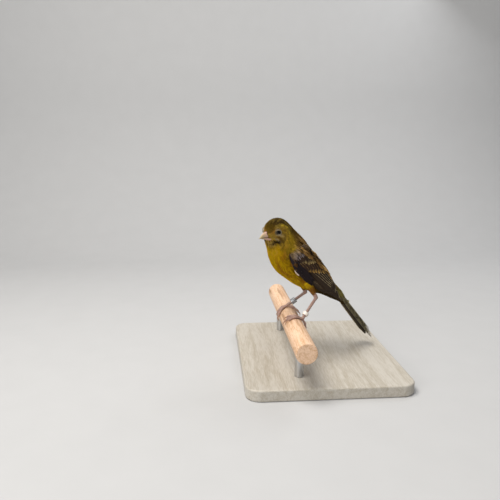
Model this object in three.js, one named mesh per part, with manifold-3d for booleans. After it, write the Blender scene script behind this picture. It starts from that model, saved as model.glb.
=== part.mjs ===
// A canary gripping a short length of wooden dowel, which a plain display stand holds up.
// Millimetres, +Z up. The origin is the middle of the base's underside, at the level it rests on.
// The bird looks towards -X and is turned a little towards -Y, where its left side shows.
import * as THREE from 'three';
import { mergeVertices } from 'three/addons/utils/BufferGeometryUtils.js';
import Module from 'manifold-3d';

const wasm = await Module();
wasm.setup();

// Gap kept wherever two pieces meet face to face.
const GAP = 0.3;

// Stand: a flat base, two short rods and the dowel that they carry.
const BASE_SIZE_X = 112;
const BASE_SIZE_Y = 132;
const BASE_THICK = 8;
const BASE_CORNER = 10;
const BASE_EDGE = 1.2;
const ROD_RADIUS = 3;
const ROD_SPACING = 92;
const PERCH_RADIUS = 7;
const PERCH_LENGTH = 144;
const PERCH_TOP = 41;
const PERCH_X = -19;

// Where the bird stands on the dowel, and how far it is turned about the vertical.
const BIRD_Y = -10;
const BIRD_TURN = THREE.MathUtils.degToRad(16);

// Body outline in the bird's own frame, whose origin is the top of the dowel midway between the
// feet, with x towards the tail and z up. Each section has the place of its back and of its
// front, as x and z, and half its width. They run from the face down to the end of the rump.
const SECTIONS = [
  { back: [-21.4, 62.6], front: [-21.2, 55.4], half: 4.4 },
  { back: [-20.3, 66.2], front: [-20.4, 52.6], half: 7.0 },
  { back: [-17.0, 69.0], front: [-19.4, 50.2], half: 8.6 },
  { back: [-12.0, 69.8], front: [-18.8, 47.6], half: 9.3 },
  { back: [-7.0, 68.0], front: [-18.3, 45.0], half: 9.6 },
  { back: [-2.6, 64.4], front: [-17.7, 42.4], half: 10.2 },
  { back: [2.4, 59.4], front: [-16.7, 39.6], half: 11.1 },
  { back: [8.0, 53.8], front: [-14.8, 35.8], half: 11.6 },
  { back: [13.8, 46.0], front: [-11.0, 30.8], half: 11.5 },
  { back: [19.5, 37.8], front: [-5.2, 26.2], half: 11.0 },
  { back: [25.0, 30.4], front: [1.2, 21.6], half: 10.0 },
  { back: [30.0, 23.4], front: [8.4, 17.6], half: 8.6 },
  { back: [35.3, 17.9], front: [15.8, 14.2], half: 6.8 },
  { back: [39.8, 13.3], front: [24.4, 11.6], half: 5.4 },
  { back: [43.9, 8.7], front: [32.8, 6.6], half: 4.0 },
];
const BODY_RINGS = 28;
const BODY_SIDES = 24;
const NECK_TOP = 4.2;
const NECK_FOOT = 6.0;
const RUMP_END = 12.6;

// The head looks further to its left than the body does, about a pivot in the neck.
const HEAD_TURN = THREE.MathUtils.degToRad(20);
const HEAD_TURN_FROM = 7.5;
const HEAD_TURN_TO = 3.5;
const HEAD_PIVOT = -8;

// Bill: a short cone, with the line of the mouth running back and down from its tip.
const BILL_TIP = [-29.8, 56.8];
const BILL_ROOT = [-18.6, 58.2];
const BILL_DEPTH = 6.2;
const BILL_WIDTH = 6.0;
const BILL_STEPS = 7;
const BILL_SIDES = 8;
const LOWER_REACH = 0.93;
const BILL_END = 0.06;
const MOUTH_ROOT = [-18.6, 57.2];
const NOSTRIL_PLACE = [-22.3, 60.0];
const NOSTRIL_OUT = 1.9;
const NOSTRIL_RADIUS = 0.45;

// Eyes and the ring of bare lid round each.
const EYE_PLACE = [-17.4, 60.9];
const EYE_RADIUS = 2.2;
const EYE_OUT = 6.7;
const LID_RADIUS = 2.45;
const LID_THICK = 0.55;
const LID_OUT = 0.9;
const LID_AIM = [-0.28, -1, 0.1];

// Legs: feathered thigh, bare shank and four toes, on the left and right foot in turn.
const SHANK_RADIUS = 1.0;
const HEEL_RADIUS = 1.35;
const TOE_RADIUS = 0.85;
const TOE_TIP_RADIUS = 0.6;
const CLAW_RADIUS = 0.5;
const CLAW_POINT = 0.3;
const KNUCKLE_SWELL = 0.08;
const PAD_RADIUS = 1.25;
const PAD_RISE = 1.3;
const THIGH_RADII = [4.2, 3.4, 1.9, HEEL_RADIUS];
const BAND_INNER = SHANK_RADIUS + GAP + 0.1;
const BAND_OUTER = 2.15;

// Folded wing, laid on the body: section numbers, and degrees round from the middle of the back.
const WING_ROOT = 6.3;
const WING_TIP = 14.3;
const WING_LIFT = 0.4;
const WING_DEPTH = 3.9;
const ARM_END = 0.44;

// Feathers of the folded wing in tiers, each laid from its lowest feather to its highest. Each
// tier has the places of the roots and tips of its first and last feather, and how high those
// lie over the body.
const VANE_THICK = 0.5;
const VANE_STEPS = 5;
const WING_TIERS = [
  {
    count: 6,
    root: [[8.9, 113], [8.7, 90]],
    tip: [[14.3, 100], [12.6, 68]],
    lift: [1.25, 1.9],
    width: 4.2,
    tilt: 16,
  },
  {
    count: 5,
    root: [[8.6, 92], [8.4, 64]],
    tip: [[12.1, 80], [11.4, 50]],
    lift: [1.9, 2.5],
    width: 5.0,
    tilt: 15,
  },
  {
    count: 3,
    root: [[8.3, 60], [8.2, 46]],
    tip: [[12.0, 62], [10.9, 44]],
    lift: [2.3, 2.5],
    width: 6.2,
    tilt: 10,
  },
  {
    count: 8,
    root: [[8.1, 108], [7.9, 52]],
    tip: [[10.1, 110], [9.5, 50]],
    lift: [2.6, 2.8],
    width: 4.6,
    tilt: 13,
  },
  {
    count: 7,
    root: [[7.3, 102], [7.2, 54]],
    tip: [[8.9, 106], [8.6, 52]],
    lift: [2.9, 3.0],
    width: 4.6,
    tilt: 11,
  },
];
const TIP_ROUND = 0.18;

// Closed tail: from its root to the forked tips, in the bird's frame.
const TAIL_ROOT = [35.4, 17.0];
const TAIL_TIP = [69.0, -23.8];
const TAIL_HALF = 6.6;
const TAIL_SPLAY = 0.5;
const TAIL_MIDDLE = 1.8;
const TAIL_TILT = 8;
const TAIL_FORK = 6.0;
const TAIL_PAIRS = 6;
const TAIL_WIDTH = 4.8;
const TAIL_STEP = 0.72;

// Colours from the photo: plumage, horn, skin, eye, bands, dowel and stand.
const OLIVE = new THREE.MeshStandardMaterial({ color: 0x6b5a1e, roughness: 0.85 });
const YELLOW = new THREE.MeshStandardMaterial({ color: 0xa8860f, roughness: 0.85 });
const BROWN = new THREE.MeshStandardMaterial({ color: 0x3a2e1c, roughness: 0.8 });
const HORN = new THREE.MeshStandardMaterial({ color: 0xd8b3a0, roughness: 0.45 });
const SKIN = new THREE.MeshStandardMaterial({ color: 0xc99a86, roughness: 0.6 });
const EYE = new THREE.MeshStandardMaterial({ color: 0x140d0a, roughness: 0.1 });
const WHITE = new THREE.MeshStandardMaterial({ color: 0xf0ece6, roughness: 0.4 });
const GREY = new THREE.MeshStandardMaterial({ color: 0x9a9ca0, roughness: 0.35, metalness: 0.8 });
const DOWEL = new THREE.MeshStandardMaterial({ color: 0xd9b48c, roughness: 0.65 });
const PALE = new THREE.MeshStandardMaterial({ color: 0xe4dfd6, roughness: 0.6 });
const STEEL = new THREE.MeshStandardMaterial({ color: 0xb5b7ba, roughness: 0.3, metalness: 1 });

// A closed geometry from points and triangles, turned so that its faces point out.
function closedGeometry(points, triangles) {
  const volume = triangles.reduce((sum, [a, b, c]) => {
    const cross = new THREE.Vector3().crossVectors(points[b], points[c]);
    return sum + points[a].dot(cross);
  }, 0);
  const facing = volume > 0 ? triangles : triangles.map(([a, b, c]) => [a, c, b]);
  const geometry = new THREE.BufferGeometry().setFromPoints(points);
  geometry.setIndex(facing.flat());
  return geometry;
}

// A tube through rings of equal length, closed at both ends by a fan.
function loft(rings) {
  const sides = rings[0].length;
  const points = rings.flat();
  const triangles = [];
  for (let i = 0; i + 1 < rings.length; i += 1) {
    for (let k = 0; k < sides; k += 1) {
      const a = i * sides + k;
      const b = i * sides + ((k + 1) % sides);
      triangles.push([a, b, a + sides], [b, b + sides, a + sides]);
    }
  }
  for (const end of [0, rings.length - 1]) {
    const middle = new THREE.Vector3();
    rings[end].forEach((point) => middle.addScaledVector(point, 1 / sides));
    points.push(middle);
    for (let k = 0; k < sides; k += 1) {
      const edge = [end * sides + k, end * sides + ((k + 1) % sides)];
      if (end === 0) edge.reverse();
      triangles.push([...edge, points.length - 1]);
    }
  }
  return closedGeometry(points, triangles);
}

// A thin plate between two grids of points, split into triangles alike on both faces.
function plate(upper, lower) {
  const rows = upper.length;
  const columns = upper[0].length;
  const count = rows * columns;
  const points = [...upper.flat(), ...lower.flat()];
  const triangles = [];
  for (let i = 0; i + 1 < rows; i += 1) {
    for (let k = 0; k + 1 < columns; k += 1) {
      const a = i * columns + k;
      const b = a + 1;
      const c = a + columns;
      const d = c + 1;
      triangles.push([a, b, d], [a, d, c]);
      triangles.push([a + count, d + count, b + count], [a + count, c + count, d + count]);
    }
  }
  const rim = [];
  for (let k = 0; k < columns; k += 1) rim.push(k);
  for (let i = 1; i < rows; i += 1) rim.push(i * columns + columns - 1);
  for (let k = columns - 2; k >= 0; k -= 1) rim.push((rows - 1) * columns + k);
  for (let i = rows - 2; i > 0; i -= 1) rim.push(i * columns);
  rim.forEach((a, index) => {
    const b = rim[(index + 1) % rim.length];
    triangles.push([b, a, a + count], [b, a + count, b + count]);
  });
  return closedGeometry(points, triangles);
}

// A round limb along a list of points, with a radius at each. It keeps its section from twisting.
function limb(path, radii, sides = 10) {
  const side = new THREE.Vector3(0, 1, 0);
  const rings = path.map((point, i) => {
    const ahead = path[Math.min(i + 1, path.length - 1)];
    const along = ahead.clone().sub(path[Math.max(i - 1, 0)]).normalize();
    side.addScaledVector(along, -side.dot(along)).normalize();
    const across = new THREE.Vector3().crossVectors(along, side);
    return Array.from({ length: sides }, (_, k) => {
      const angle = (2 * Math.PI * k) / sides;
      return point.clone()
        .addScaledVector(side, radii[i] * Math.cos(angle))
        .addScaledVector(across, radii[i] * Math.sin(angle));
    });
  });
  return loft(rings);
}

// Turns a closed geometry into a solid that can be joined and cut.
function solid(geometry) {
  const bare = geometry.clone();
  bare.deleteAttribute('normal');
  bare.deleteAttribute('uv');
  const merged = mergeVertices(bare);
  return new wasm.Manifold(new wasm.Mesh({
    numProp: 3,
    vertProperties: new Float32Array(merged.attributes.position.array),
    triVerts: new Uint32Array(merged.index.array),
  }));
}

// Turns a solid back into a geometry and keeps only its largest closed surface.
function geometryOf(body) {
  const pieces = body.decompose().sort((a, b) => b.volume() - a.volume());
  const mesh = pieces[0].getMesh();
  const geometry = new THREE.BufferGeometry();
  geometry.setAttribute('position', new THREE.BufferAttribute(mesh.vertProperties, mesh.numProp));
  geometry.setIndex(new THREE.BufferAttribute(mesh.triVerts, 1));
  return geometry;
}

function join(solids) {
  return solids.reduce((sum, next) => sum.add(next));
}

const mix = THREE.MathUtils.lerp;
const ease = THREE.MathUtils.smoothstep;

// Smooth curves through the sections' backs and fronts, each with half the width as its y.
const backCurve = new THREE.CatmullRomCurve3(
  SECTIONS.map(({ back, half }) => new THREE.Vector3(back[0], half, back[1])),
);
const frontCurve = new THREE.CatmullRomCurve3(
  SECTIONS.map(({ front, half }) => new THREE.Vector3(front[0], half, front[1])),
);

// Turns a point of the head about the neck's pivot, by its full turn or part of it.
function turnHead(point, share = 1) {
  const pivot = new THREE.Vector3(HEAD_PIVOT, 0, 0);
  return point.sub(pivot).applyAxisAngle(new THREE.Vector3(0, 0, 1), share * HEAD_TURN).add(pivot);
}

// Point of the body's surface at a section number, and degrees round from the middle of the
// back. The bird's left is at positive degrees, which is -Y.
function bodyPoint(section, degrees) {
  const t = THREE.MathUtils.clamp(section / (SECTIONS.length - 1), 0, 1);
  const back = backCurve.getPoint(t);
  const front = frontCurve.getPoint(t);
  const angle = THREE.MathUtils.degToRad(degrees);
  const share = (1 - Math.cos(angle)) / 2;
  const point = back.clone().lerp(front, share).setY(-back.y * Math.sin(angle));
  return turnHead(point, 1 - ease(section, HEAD_TURN_TO, HEAD_TURN_FROM));
}

// Direction straight out of the body at a place on its surface.
function bodyNormal(section, degrees) {
  const step = 0.05;
  const at = Math.min(section, SECTIONS.length - 1 - step);
  const along = bodyPoint(at + step, degrees).sub(bodyPoint(Math.max(at - step, 0), degrees));
  const round = bodyPoint(at, degrees + 1).sub(bodyPoint(at, degrees - 1));
  return new THREE.Vector3().crossVectors(round, along).normalize();
}

// A place at some height above the body's surface.
function onBody(section, degrees, height) {
  return bodyPoint(section, degrees).addScaledVector(bodyNormal(section, degrees), height);
}

// The whole body as one solid, made larger all round by the given margin.
function bodySolid(margin) {
  const last = SECTIONS.length - 1;
  const rings = Array.from({ length: BODY_RINGS + 1 }, (_, i) => (
    Array.from({ length: BODY_SIDES }, (_unused, k) => (
      onBody((last * i) / BODY_RINGS, (360 * k) / BODY_SIDES, margin)
    ))
  ));
  return solid(loft(rings));
}

// Cuts a solid square across the body at a section number and keeps the side towards the head or
// the side towards the tail, half a gap away from the cut.
function cutAcross(body, section, towardsTail) {
  const back = bodyPoint(section, 0);
  const front = bodyPoint(section, 180);
  const side = bodyPoint(section, 90);
  const normal = side.clone().sub(front).cross(back.clone().sub(front)).normalize();
  const ahead = bodyPoint(section + 1, 0).sub(back);
  if ((normal.dot(ahead) > 0) !== towardsTail) normal.negate();
  return body.trimByPlane(normal.toArray(), normal.dot(back) + GAP / 2);
}

// Edge of the folded wing at a share of its length: its lower edge or its edge along the back.
function wingEdge(share, upper) {
  const section = mix(WING_ROOT, WING_TIP, share);
  const low = mix(mix(94, 122, ease(share, -0.1, 0.25)), 96, ease(share, 0.55, 1));
  const high = mix(mix(86, 34, ease(share, -0.12, 0.28)), 86, ease(share, 0.6, 1));
  return { section, degrees: upper ? high : low };
}

// A smooth plate on the body's side, inside the edges of the folded wing: its whole form, or only
// the arm that carries the feathers.
function wingForm(side, margin, reach, depth) {
  const rows = Math.ceil(14 * reach);
  const columns = 6;
  const thickness = (share, across) => {
    const round = Math.sqrt(Math.max(0, 1 - (2 * across - 1) ** 2));
    const along = mix(mix(0.7, 1, ease(share, 0, 0.2)), 0.4, ease(share, 0.5, 1));
    return mix(0.25, 1, round) * along * depth;
  };
  const grid = (height) => Array.from({ length: rows + 1 }, (_, i) => (
    Array.from({ length: columns + 1 }, (_unused, k) => {
      const share = (reach * i) / rows;
      const low = wingEdge(share, false);
      const high = wingEdge(share, true);
      const spread = (margin / 0.2) * (2 * (k / columns) - 1);
      const degrees = mix(low.degrees, high.degrees, k / columns) - spread;
      return onBody(low.section, side * degrees, height(share, k / columns));
    })
  ));
  const outer = grid((share, across) => WING_LIFT + thickness(share, across) + margin);
  const inner = grid(() => WING_LIFT - margin);
  return solid(plate(outer, inner));
}

// Width of a feather at a share of its length: narrow at the quill, rounded off at the tip.
function vaneWidth(share) {
  return mix(0.5, 1, ease(share, 0, 0.45)) * mix(1, TIP_ROUND, ease(share, 0.72, 1) ** 1.6);
}

// A feather's vane. The given function returns its shaft's point, and the directions across it
// and straight up from it, at a share of its length.
function vane(place, width, tilt) {
  const angle = THREE.MathUtils.degToRad(tilt);
  const grid = (height) => Array.from({ length: VANE_STEPS + 1 }, (_, i) => {
    const share = i / VANE_STEPS;
    const { point, across, up } = place(share);
    const half = (width / 2) * vaneWidth(share);
    return [-1, 1].map((edge) => point.clone()
      .addScaledVector(across, edge * half * Math.cos(angle))
      .addScaledVector(up, height - edge * half * Math.sin(angle)));
  });
  return solid(plate(grid(VANE_THICK / 2), grid(-VANE_THICK / 2)));
}

// All feathers of one tier. Each one's lower edge lies over the feather below it.
function wingTier(side, tier) {
  return Array.from({ length: tier.count }, (_, i) => {
    const order = i / (tier.count - 1);
    const root = tier.root[0].map((value, k) => mix(value, tier.root[1][k], order));
    const tip = tier.tip[0].map((value, k) => mix(value, tier.tip[1][k], order));
    const lift = mix(tier.lift[0], tier.lift[1], order);
    return vane((share) => {
      const section = mix(root[0], tip[0], share);
      const degrees = side * mix(root[1], tip[1], share);
      const point = onBody(section, degrees, mix(lift, lift - 0.25, share));
      const up = bodyNormal(section, degrees);
      const next = side * mix(root[1], tip[1], share + 0.03);
      const ahead = bodyPoint(section + 0.1, next).sub(bodyPoint(section, degrees));
      const across = new THREE.Vector3().crossVectors(up, ahead).multiplyScalar(-side).normalize();
      return { point, across, up };
    }, tier.width, tier.tilt);
  });
}

// The folded wing: the arm with every tier of feathers rooted in it.
function wing(side) {
  const feathers = WING_TIERS.flatMap((tier) => wingTier(side, tier));
  return join([wingForm(side, 0, ARM_END, WING_DEPTH - 1), ...feathers]);
}

// One half of the closed tail. Its feathers lie under one another from the middle pair outwards,
// and grow longer, so that the tail is forked.
function tailHalf(side) {
  const root = new THREE.Vector3(TAIL_ROOT[0], 0, TAIL_ROOT[1]);
  const tip = new THREE.Vector3(TAIL_TIP[0], 0, TAIL_TIP[1]);
  const along = tip.clone().sub(root).normalize();
  const up = new THREE.Vector3(-along.z, 0, along.x);
  const across = new THREE.Vector3(0, -side, 0);
  return Array.from({ length: TAIL_PAIRS }, (_, i) => {
    const order = i / (TAIL_PAIRS - 1);
    const end = 1 - (TAIL_FORK / root.distanceTo(tip)) * (1 - ease(order, 0, 0.8));
    const out = mix(TAIL_MIDDLE, TAIL_HALF - TAIL_WIDTH / 2, order);
    return vane((share) => ({
      point: root.clone().lerp(tip, share * end)
        .addScaledVector(across, out * mix(TAIL_SPLAY, 1, share))
        .addScaledVector(up, -i * TAIL_STEP * mix(0.8, 1, share)),
      across,
      up,
    }), TAIL_WIDTH, TAIL_TILT);
  });
}

// One mandible: the upper or the lower part of the cone that the bill makes.
function mandible(upper) {
  const tip = new THREE.Vector3(BILL_TIP[0], 0, BILL_TIP[1]);
  const mouth = new THREE.Vector3(MOUTH_ROOT[0], 0, MOUTH_ROOT[1]);
  const top = BILL_ROOT[1] + BILL_DEPTH / 2;
  const foot = BILL_ROOT[1] - BILL_DEPTH / 2;
  const reach = upper ? 1 : LOWER_REACH;
  const height = upper ? top - MOUTH_ROOT[1] : MOUTH_ROOT[1] - foot;
  const facing = upper ? 1 : -1;
  const rings = Array.from({ length: BILL_STEPS + 1 }, (_, i) => {
    const share = (reach * i) / BILL_STEPS;
    const line = mouth.clone().lerp(tip, share);
    const swell = 1 - share ** (upper ? 1.7 : 1.35);
    const depth = height * Math.max(swell, BILL_END);
    const half = (BILL_WIDTH / 2) * Math.max(1 - share ** 1.5, BILL_END);
    return Array.from({ length: BILL_SIDES + 1 }, (_unused, k) => {
      const angle = (Math.PI * k) / BILL_SIDES;
      const rise = facing * (depth * Math.sin(angle) ** 0.8 + GAP / 2);
      return turnHead(new THREE.Vector3(line.x, half * Math.cos(angle), line.z + rise));
    });
  });
  return solid(loft(rings));
}

// Small round nostrils near the root of the upper mandible.
function nostrils() {
  return join([1, -1].map((side) => {
    const centre = new THREE.Vector3(NOSTRIL_PLACE[0], side * NOSTRIL_OUT, NOSTRIL_PLACE[1]);
    return ball(turnHead(centre), NOSTRIL_RADIUS, 6);
  }));
}

function eyeCentre(side) {
  return turnHead(new THREE.Vector3(EYE_PLACE[0], -side * EYE_OUT, EYE_PLACE[1]));
}

function ball(centre, radius, rings = 8) {
  const geometry = new THREE.SphereGeometry(radius, 2 * rings, rings);
  geometry.translate(centre.x, centre.y, centre.z);
  return solid(geometry);
}

// Ring of lid round an eye, standing a little proud of the face.
function lid(side) {
  const geometry = new THREE.TorusGeometry(LID_RADIUS, LID_THICK, 8, 20);
  const out = new THREE.Vector3(LID_AIM[0], side * LID_AIM[1], LID_AIM[2])
    .applyAxisAngle(new THREE.Vector3(0, 0, 1), HEAD_TURN)
    .normalize();
  geometry.applyQuaternion(new THREE.Quaternion().setFromUnitVectors(new THREE.Vector3(0, 0, 1), out));
  const centre = eyeCentre(side).addScaledVector(out, LID_OUT);
  geometry.translate(centre.x, centre.y, centre.z);
  return solid(geometry);
}

// A place round the dowel, in the bird's frame: degrees from its top towards the tail, distance
// along it from the bird's middle towards its left, and distance out from its axis.
function roundPerch(degrees, along, radius) {
  const angle = THREE.MathUtils.degToRad(degrees);
  const height = radius * Math.cos(angle) - PERCH_RADIUS;
  return new THREE.Vector3(radius * Math.sin(angle), -along, height)
    .applyAxisAngle(new THREE.Vector3(0, 0, 1), -BIRD_TURN);
}

// One toe with its claw, wrapped round the dowel from the pad of the foot.
function toe(pad, turn, sweep, drift) {
  const steps = 9;
  const path = [];
  const radii = [];
  for (let i = 0; i <= steps; i += 1) {
    const share = i / steps;
    const knuckle = KNUCKLE_SWELL * Math.cos(share * 3 * 2 * Math.PI);
    const flesh = mix(TOE_RADIUS, TOE_TIP_RADIUS, share) + knuckle;
    const taper = mix(1, CLAW_POINT, ease(share, 0.78, 1));
    const radius = mix(flesh, CLAW_RADIUS, ease(share, 0.66, 0.74)) * taper;
    const lift = 0.5 * Math.sin(Math.PI * ease(share, 0.7, 1));
    const degrees = pad.degrees + turn * sweep * share;
    path.push(roundPerch(degrees, pad.along + drift * share, PERCH_RADIUS + GAP + radius + lift));
    radii.push(radius);
  }
  return solid(limb(path, radii, 7));
}

const FEET = {
  left: {
    side: 1,
    hip: [8.5, 5.6, 25],
    heel: [14.8, 9.6, 12.2],
    pad: { degrees: 42, along: 13 },
    toes: [
      { turn: -1, sweep: 104, drift: -5.2 },
      { turn: -1, sweep: 124, drift: 0.2 },
      { turn: -1, sweep: 104, drift: 5.0 },
      { turn: 1, sweep: 76, drift: 0.6 },
    ],
    band: { share: 0.78, height: 2.6 },
  },
  right: {
    side: -1,
    hip: [8.5, 5.6, 25],
    heel: [15.6, 9.0, 11.4],
    pad: { degrees: -6, along: -13 },
    toes: [
      { turn: -1, sweep: 96, drift: -5.0 },
      { turn: -1, sweep: 116, drift: -0.4 },
      { turn: -1, sweep: 96, drift: 5.2 },
      { turn: 1, sweep: 86, drift: 5.5 },
    ],
    band: { share: 0.66, height: 3.8 },
  },
};

function legPoints(foot) {
  const hip = new THREE.Vector3(foot.hip[0], -foot.side * foot.hip[1], foot.hip[2]);
  const heel = new THREE.Vector3(foot.heel[0], -foot.side * foot.heel[1], foot.heel[2]);
  const pad = roundPerch(foot.pad.degrees, foot.pad.along, PERCH_RADIUS + GAP + PAD_RISE);
  return { hip, heel, pad };
}

// Thigh, heel, shank, pad and toes, joined and then cut clear of the body.
function leg(foot, body) {
  const { hip, heel, pad } = legPoints(foot);
  const knee = hip.clone().lerp(heel, 0.55).add(new THREE.Vector3(-0.6, 0, 0));
  const thigh = limb([hip, knee, heel.clone().lerp(knee, 0.25), heel], THIGH_RADII, 12);
  const shank = limb(
    [-0.06, 0.15, 0.85, 1].map((share) => heel.clone().lerp(pad, share)),
    [HEEL_RADIUS * 0.8, SHANK_RADIUS, SHANK_RADIUS, PAD_RADIUS - 0.1],
  );
  const parts = [solid(thigh), ball(heel, HEEL_RADIUS, 6), solid(shank), ball(pad, PAD_RADIUS, 6)];
  foot.toes.forEach((digit) => parts.push(toe(foot.pad, digit.turn, digit.sweep, digit.drift)));
  return join(parts).subtract(body);
}

// A closed band round the shank.
function band(foot) {
  const { heel, pad } = legPoints(foot);
  const half = foot.band.height / 2;
  const wall = [
    new THREE.Vector2(BAND_INNER, -half),
    new THREE.Vector2(BAND_OUTER, -half),
    new THREE.Vector2(BAND_OUTER, half),
    new THREE.Vector2(BAND_INNER, half),
    new THREE.Vector2(BAND_INNER, -half),
  ];
  const geometry = new THREE.LatheGeometry(wall, 20);
  const along = pad.clone().sub(heel).normalize();
  geometry.applyQuaternion(new THREE.Quaternion().setFromUnitVectors(new THREE.Vector3(0, 1, 0), along));
  const centre = heel.clone().lerp(pad, foot.band.share);
  geometry.translate(centre.x, centre.y, centre.z);
  return solid(geometry);
}

const canary = new THREE.Group();
const bird = new THREE.Group();
bird.position.set(PERCH_X, BIRD_Y, PERCH_TOP);
bird.rotation.z = BIRD_TURN;
canary.add(bird);

function place(group, name, geometry, material) {
  const mesh = new THREE.Mesh(geometry, material);
  mesh.name = name;
  group.add(mesh);
  return mesh;
}

const wholeBody = bodySolid(0);
const clearOfBody = bodySolid(GAP);
const wingRoom = join([wingForm(1, GAP, 1, WING_DEPTH), wingForm(-1, GAP, 1, WING_DEPTH)]);
const sockets = join([ball(eyeCentre(1), EYE_RADIUS + GAP), ball(eyeCentre(-1), EYE_RADIUS + GAP)]);

const head = cutAcross(wholeBody, NECK_TOP, false).add(lid(1)).add(lid(-1)).subtract(sockets);
place(bird, 'head', geometryOf(head), OLIVE);
const neck = cutAcross(cutAcross(wholeBody, NECK_TOP, true), NECK_FOOT, false);
place(bird, 'neck', geometryOf(neck), OLIVE);
const torso = cutAcross(cutAcross(wholeBody, NECK_FOOT, true), RUMP_END, false).subtract(wingRoom);
place(bird, 'torso', geometryOf(torso), YELLOW);
const tailed = join([wholeBody, ...tailHalf(1), ...tailHalf(-1)]);
place(bird, 'tail', geometryOf(cutAcross(tailed, RUMP_END, true).subtract(wingRoom)), BROWN);

place(bird, 'bill_upper', geometryOf(mandible(true).subtract(clearOfBody).subtract(nostrils())), HORN);
place(bird, 'bill_lower', geometryOf(mandible(false).subtract(clearOfBody)), HORN);
for (const [word, side] of [['left', 1], ['right', -1]]) {
  place(bird, `eye_${word}`, geometryOf(ball(eyeCentre(side), EYE_RADIUS)), EYE);
  place(bird, `wing_${word}`, geometryOf(wing(side)), BROWN);
  place(bird, `leg_${word}`, geometryOf(leg(FEET[word], clearOfBody).subtract(wingRoom)), SKIN);
}
place(bird, 'band_left', geometryOf(band(FEET.left)), WHITE);
place(bird, 'band_right', geometryOf(band(FEET.right)), GREY);

// Dowel along Y, then the rods under it and the base with rounded corners and edges.
const perch = new THREE.CylinderGeometry(PERCH_RADIUS, PERCH_RADIUS, PERCH_LENGTH, 48);
place(canary, 'perch', perch, DOWEL).position.set(PERCH_X, 0, PERCH_TOP - PERCH_RADIUS);

const rodLength = PERCH_TOP - 2 * PERCH_RADIUS - BASE_THICK - 2 * GAP + 1;
for (const [word, side] of [['front', -1], ['back', 1]]) {
  const rod = new THREE.CylinderGeometry(ROD_RADIUS, ROD_RADIUS, rodLength, 32);
  rod.rotateX(Math.PI / 2);
  rod.translate(PERCH_X, (side * ROD_SPACING) / 2, BASE_THICK + GAP + rodLength / 2);
  const room = new THREE.CylinderGeometry(PERCH_RADIUS + GAP, PERCH_RADIUS + GAP, PERCH_LENGTH, 48);
  room.translate(PERCH_X, 0, PERCH_TOP - PERCH_RADIUS);
  place(canary, `stand_rod_${word}`, geometryOf(solid(rod).subtract(solid(room))), STEEL);
}

const outline = new THREE.Shape();
const flatX = BASE_SIZE_X / 2 - BASE_EDGE;
const flatY = BASE_SIZE_Y / 2 - BASE_EDGE;
outline.moveTo(-flatX + BASE_CORNER, -flatY);
outline.lineTo(flatX - BASE_CORNER, -flatY);
outline.absarc(flatX - BASE_CORNER, -flatY + BASE_CORNER, BASE_CORNER, -Math.PI / 2, 0);
outline.absarc(flatX - BASE_CORNER, flatY - BASE_CORNER, BASE_CORNER, 0, Math.PI / 2);
outline.absarc(-flatX + BASE_CORNER, flatY - BASE_CORNER, BASE_CORNER, Math.PI / 2, Math.PI);
outline.absarc(-flatX + BASE_CORNER, -flatY + BASE_CORNER, BASE_CORNER, Math.PI, 1.5 * Math.PI);
const base = new THREE.ExtrudeGeometry(outline, {
  depth: BASE_THICK - 2 * BASE_EDGE,
  bevelThickness: BASE_EDGE,
  bevelSize: BASE_EDGE,
  bevelSegments: 2,
  curveSegments: 5,
});
place(canary, 'stand_base', geometryOf(solid(base)), PALE).position.z = BASE_EDGE;

export default canary;
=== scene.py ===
# A canary gripping a short length of dowel on a plain display stand, dressed for rendering.
import math

import bmesh
import bpy
import numpy as np
from mathutils import Matrix, Vector


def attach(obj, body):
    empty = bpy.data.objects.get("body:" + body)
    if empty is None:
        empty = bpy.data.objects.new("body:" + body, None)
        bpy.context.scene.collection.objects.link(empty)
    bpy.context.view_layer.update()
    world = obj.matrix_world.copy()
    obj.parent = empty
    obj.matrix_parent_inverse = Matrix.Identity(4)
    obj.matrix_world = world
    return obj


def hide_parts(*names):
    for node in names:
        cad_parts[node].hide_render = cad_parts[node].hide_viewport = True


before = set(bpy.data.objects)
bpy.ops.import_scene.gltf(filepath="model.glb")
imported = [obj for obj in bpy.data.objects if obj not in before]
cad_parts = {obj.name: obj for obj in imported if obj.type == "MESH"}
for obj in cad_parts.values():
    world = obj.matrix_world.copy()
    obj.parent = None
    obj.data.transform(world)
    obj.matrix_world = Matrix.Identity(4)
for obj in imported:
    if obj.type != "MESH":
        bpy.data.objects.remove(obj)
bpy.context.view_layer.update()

MM = 0.001


# The stand's base is a flat board of ash with a pale limed finish. Its corners are rounded and
# its edges are eased with a small cutter, so the grain shows softly through thin white.
BASE_SIZE = (112, 132, 8)
BASE_CORNER = 10
BASE_EDGE = 1.2
LIMED_ASH = "b9b4ab"
LIMED_ASH_GRAIN = "a49c8e"
# The ends of a level edge differ in height by less than this, in metres.
LEVEL = 1e-7


def linear(hex_colour):
    """Turns an sRGB hex colour into linear red, green, blue and alpha."""
    parts = [int(hex_colour[i:i + 2], 16) / 255 for i in (0, 2, 4)]
    return tuple(((c + 0.055) / 1.055) ** 2.4 if c > 0.04045 else c / 12.92 for c in parts) + (1.0,)


def add_node(tree, kind, inputs=None, **settings):
    """Adds a node, sets its settings, and fills or links its inputs."""
    node = tree.nodes.new(kind)
    for name, value in settings.items():
        setattr(node, name, value)
    for name, value in (inputs or {}).items():
        if isinstance(value, bpy.types.NodeSocket):
            tree.links.new(value, node.inputs[name])
        else:
            node.inputs[name].default_value = value
    return node


def new_material(name, roughness, **fixed):
    """A material with its shader's own sockets set. Returns it, its tree and its shader."""
    material = bpy.data.materials.new(name)
    material.use_nodes = True
    shader = material.node_tree.nodes["Principled BSDF"]
    shader.inputs["Roughness"].default_value = roughness
    for socket, value in fixed.items():
        shader.inputs[socket.replace("_", " ")].default_value = value
    return material, material.node_tree, shader


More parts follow.
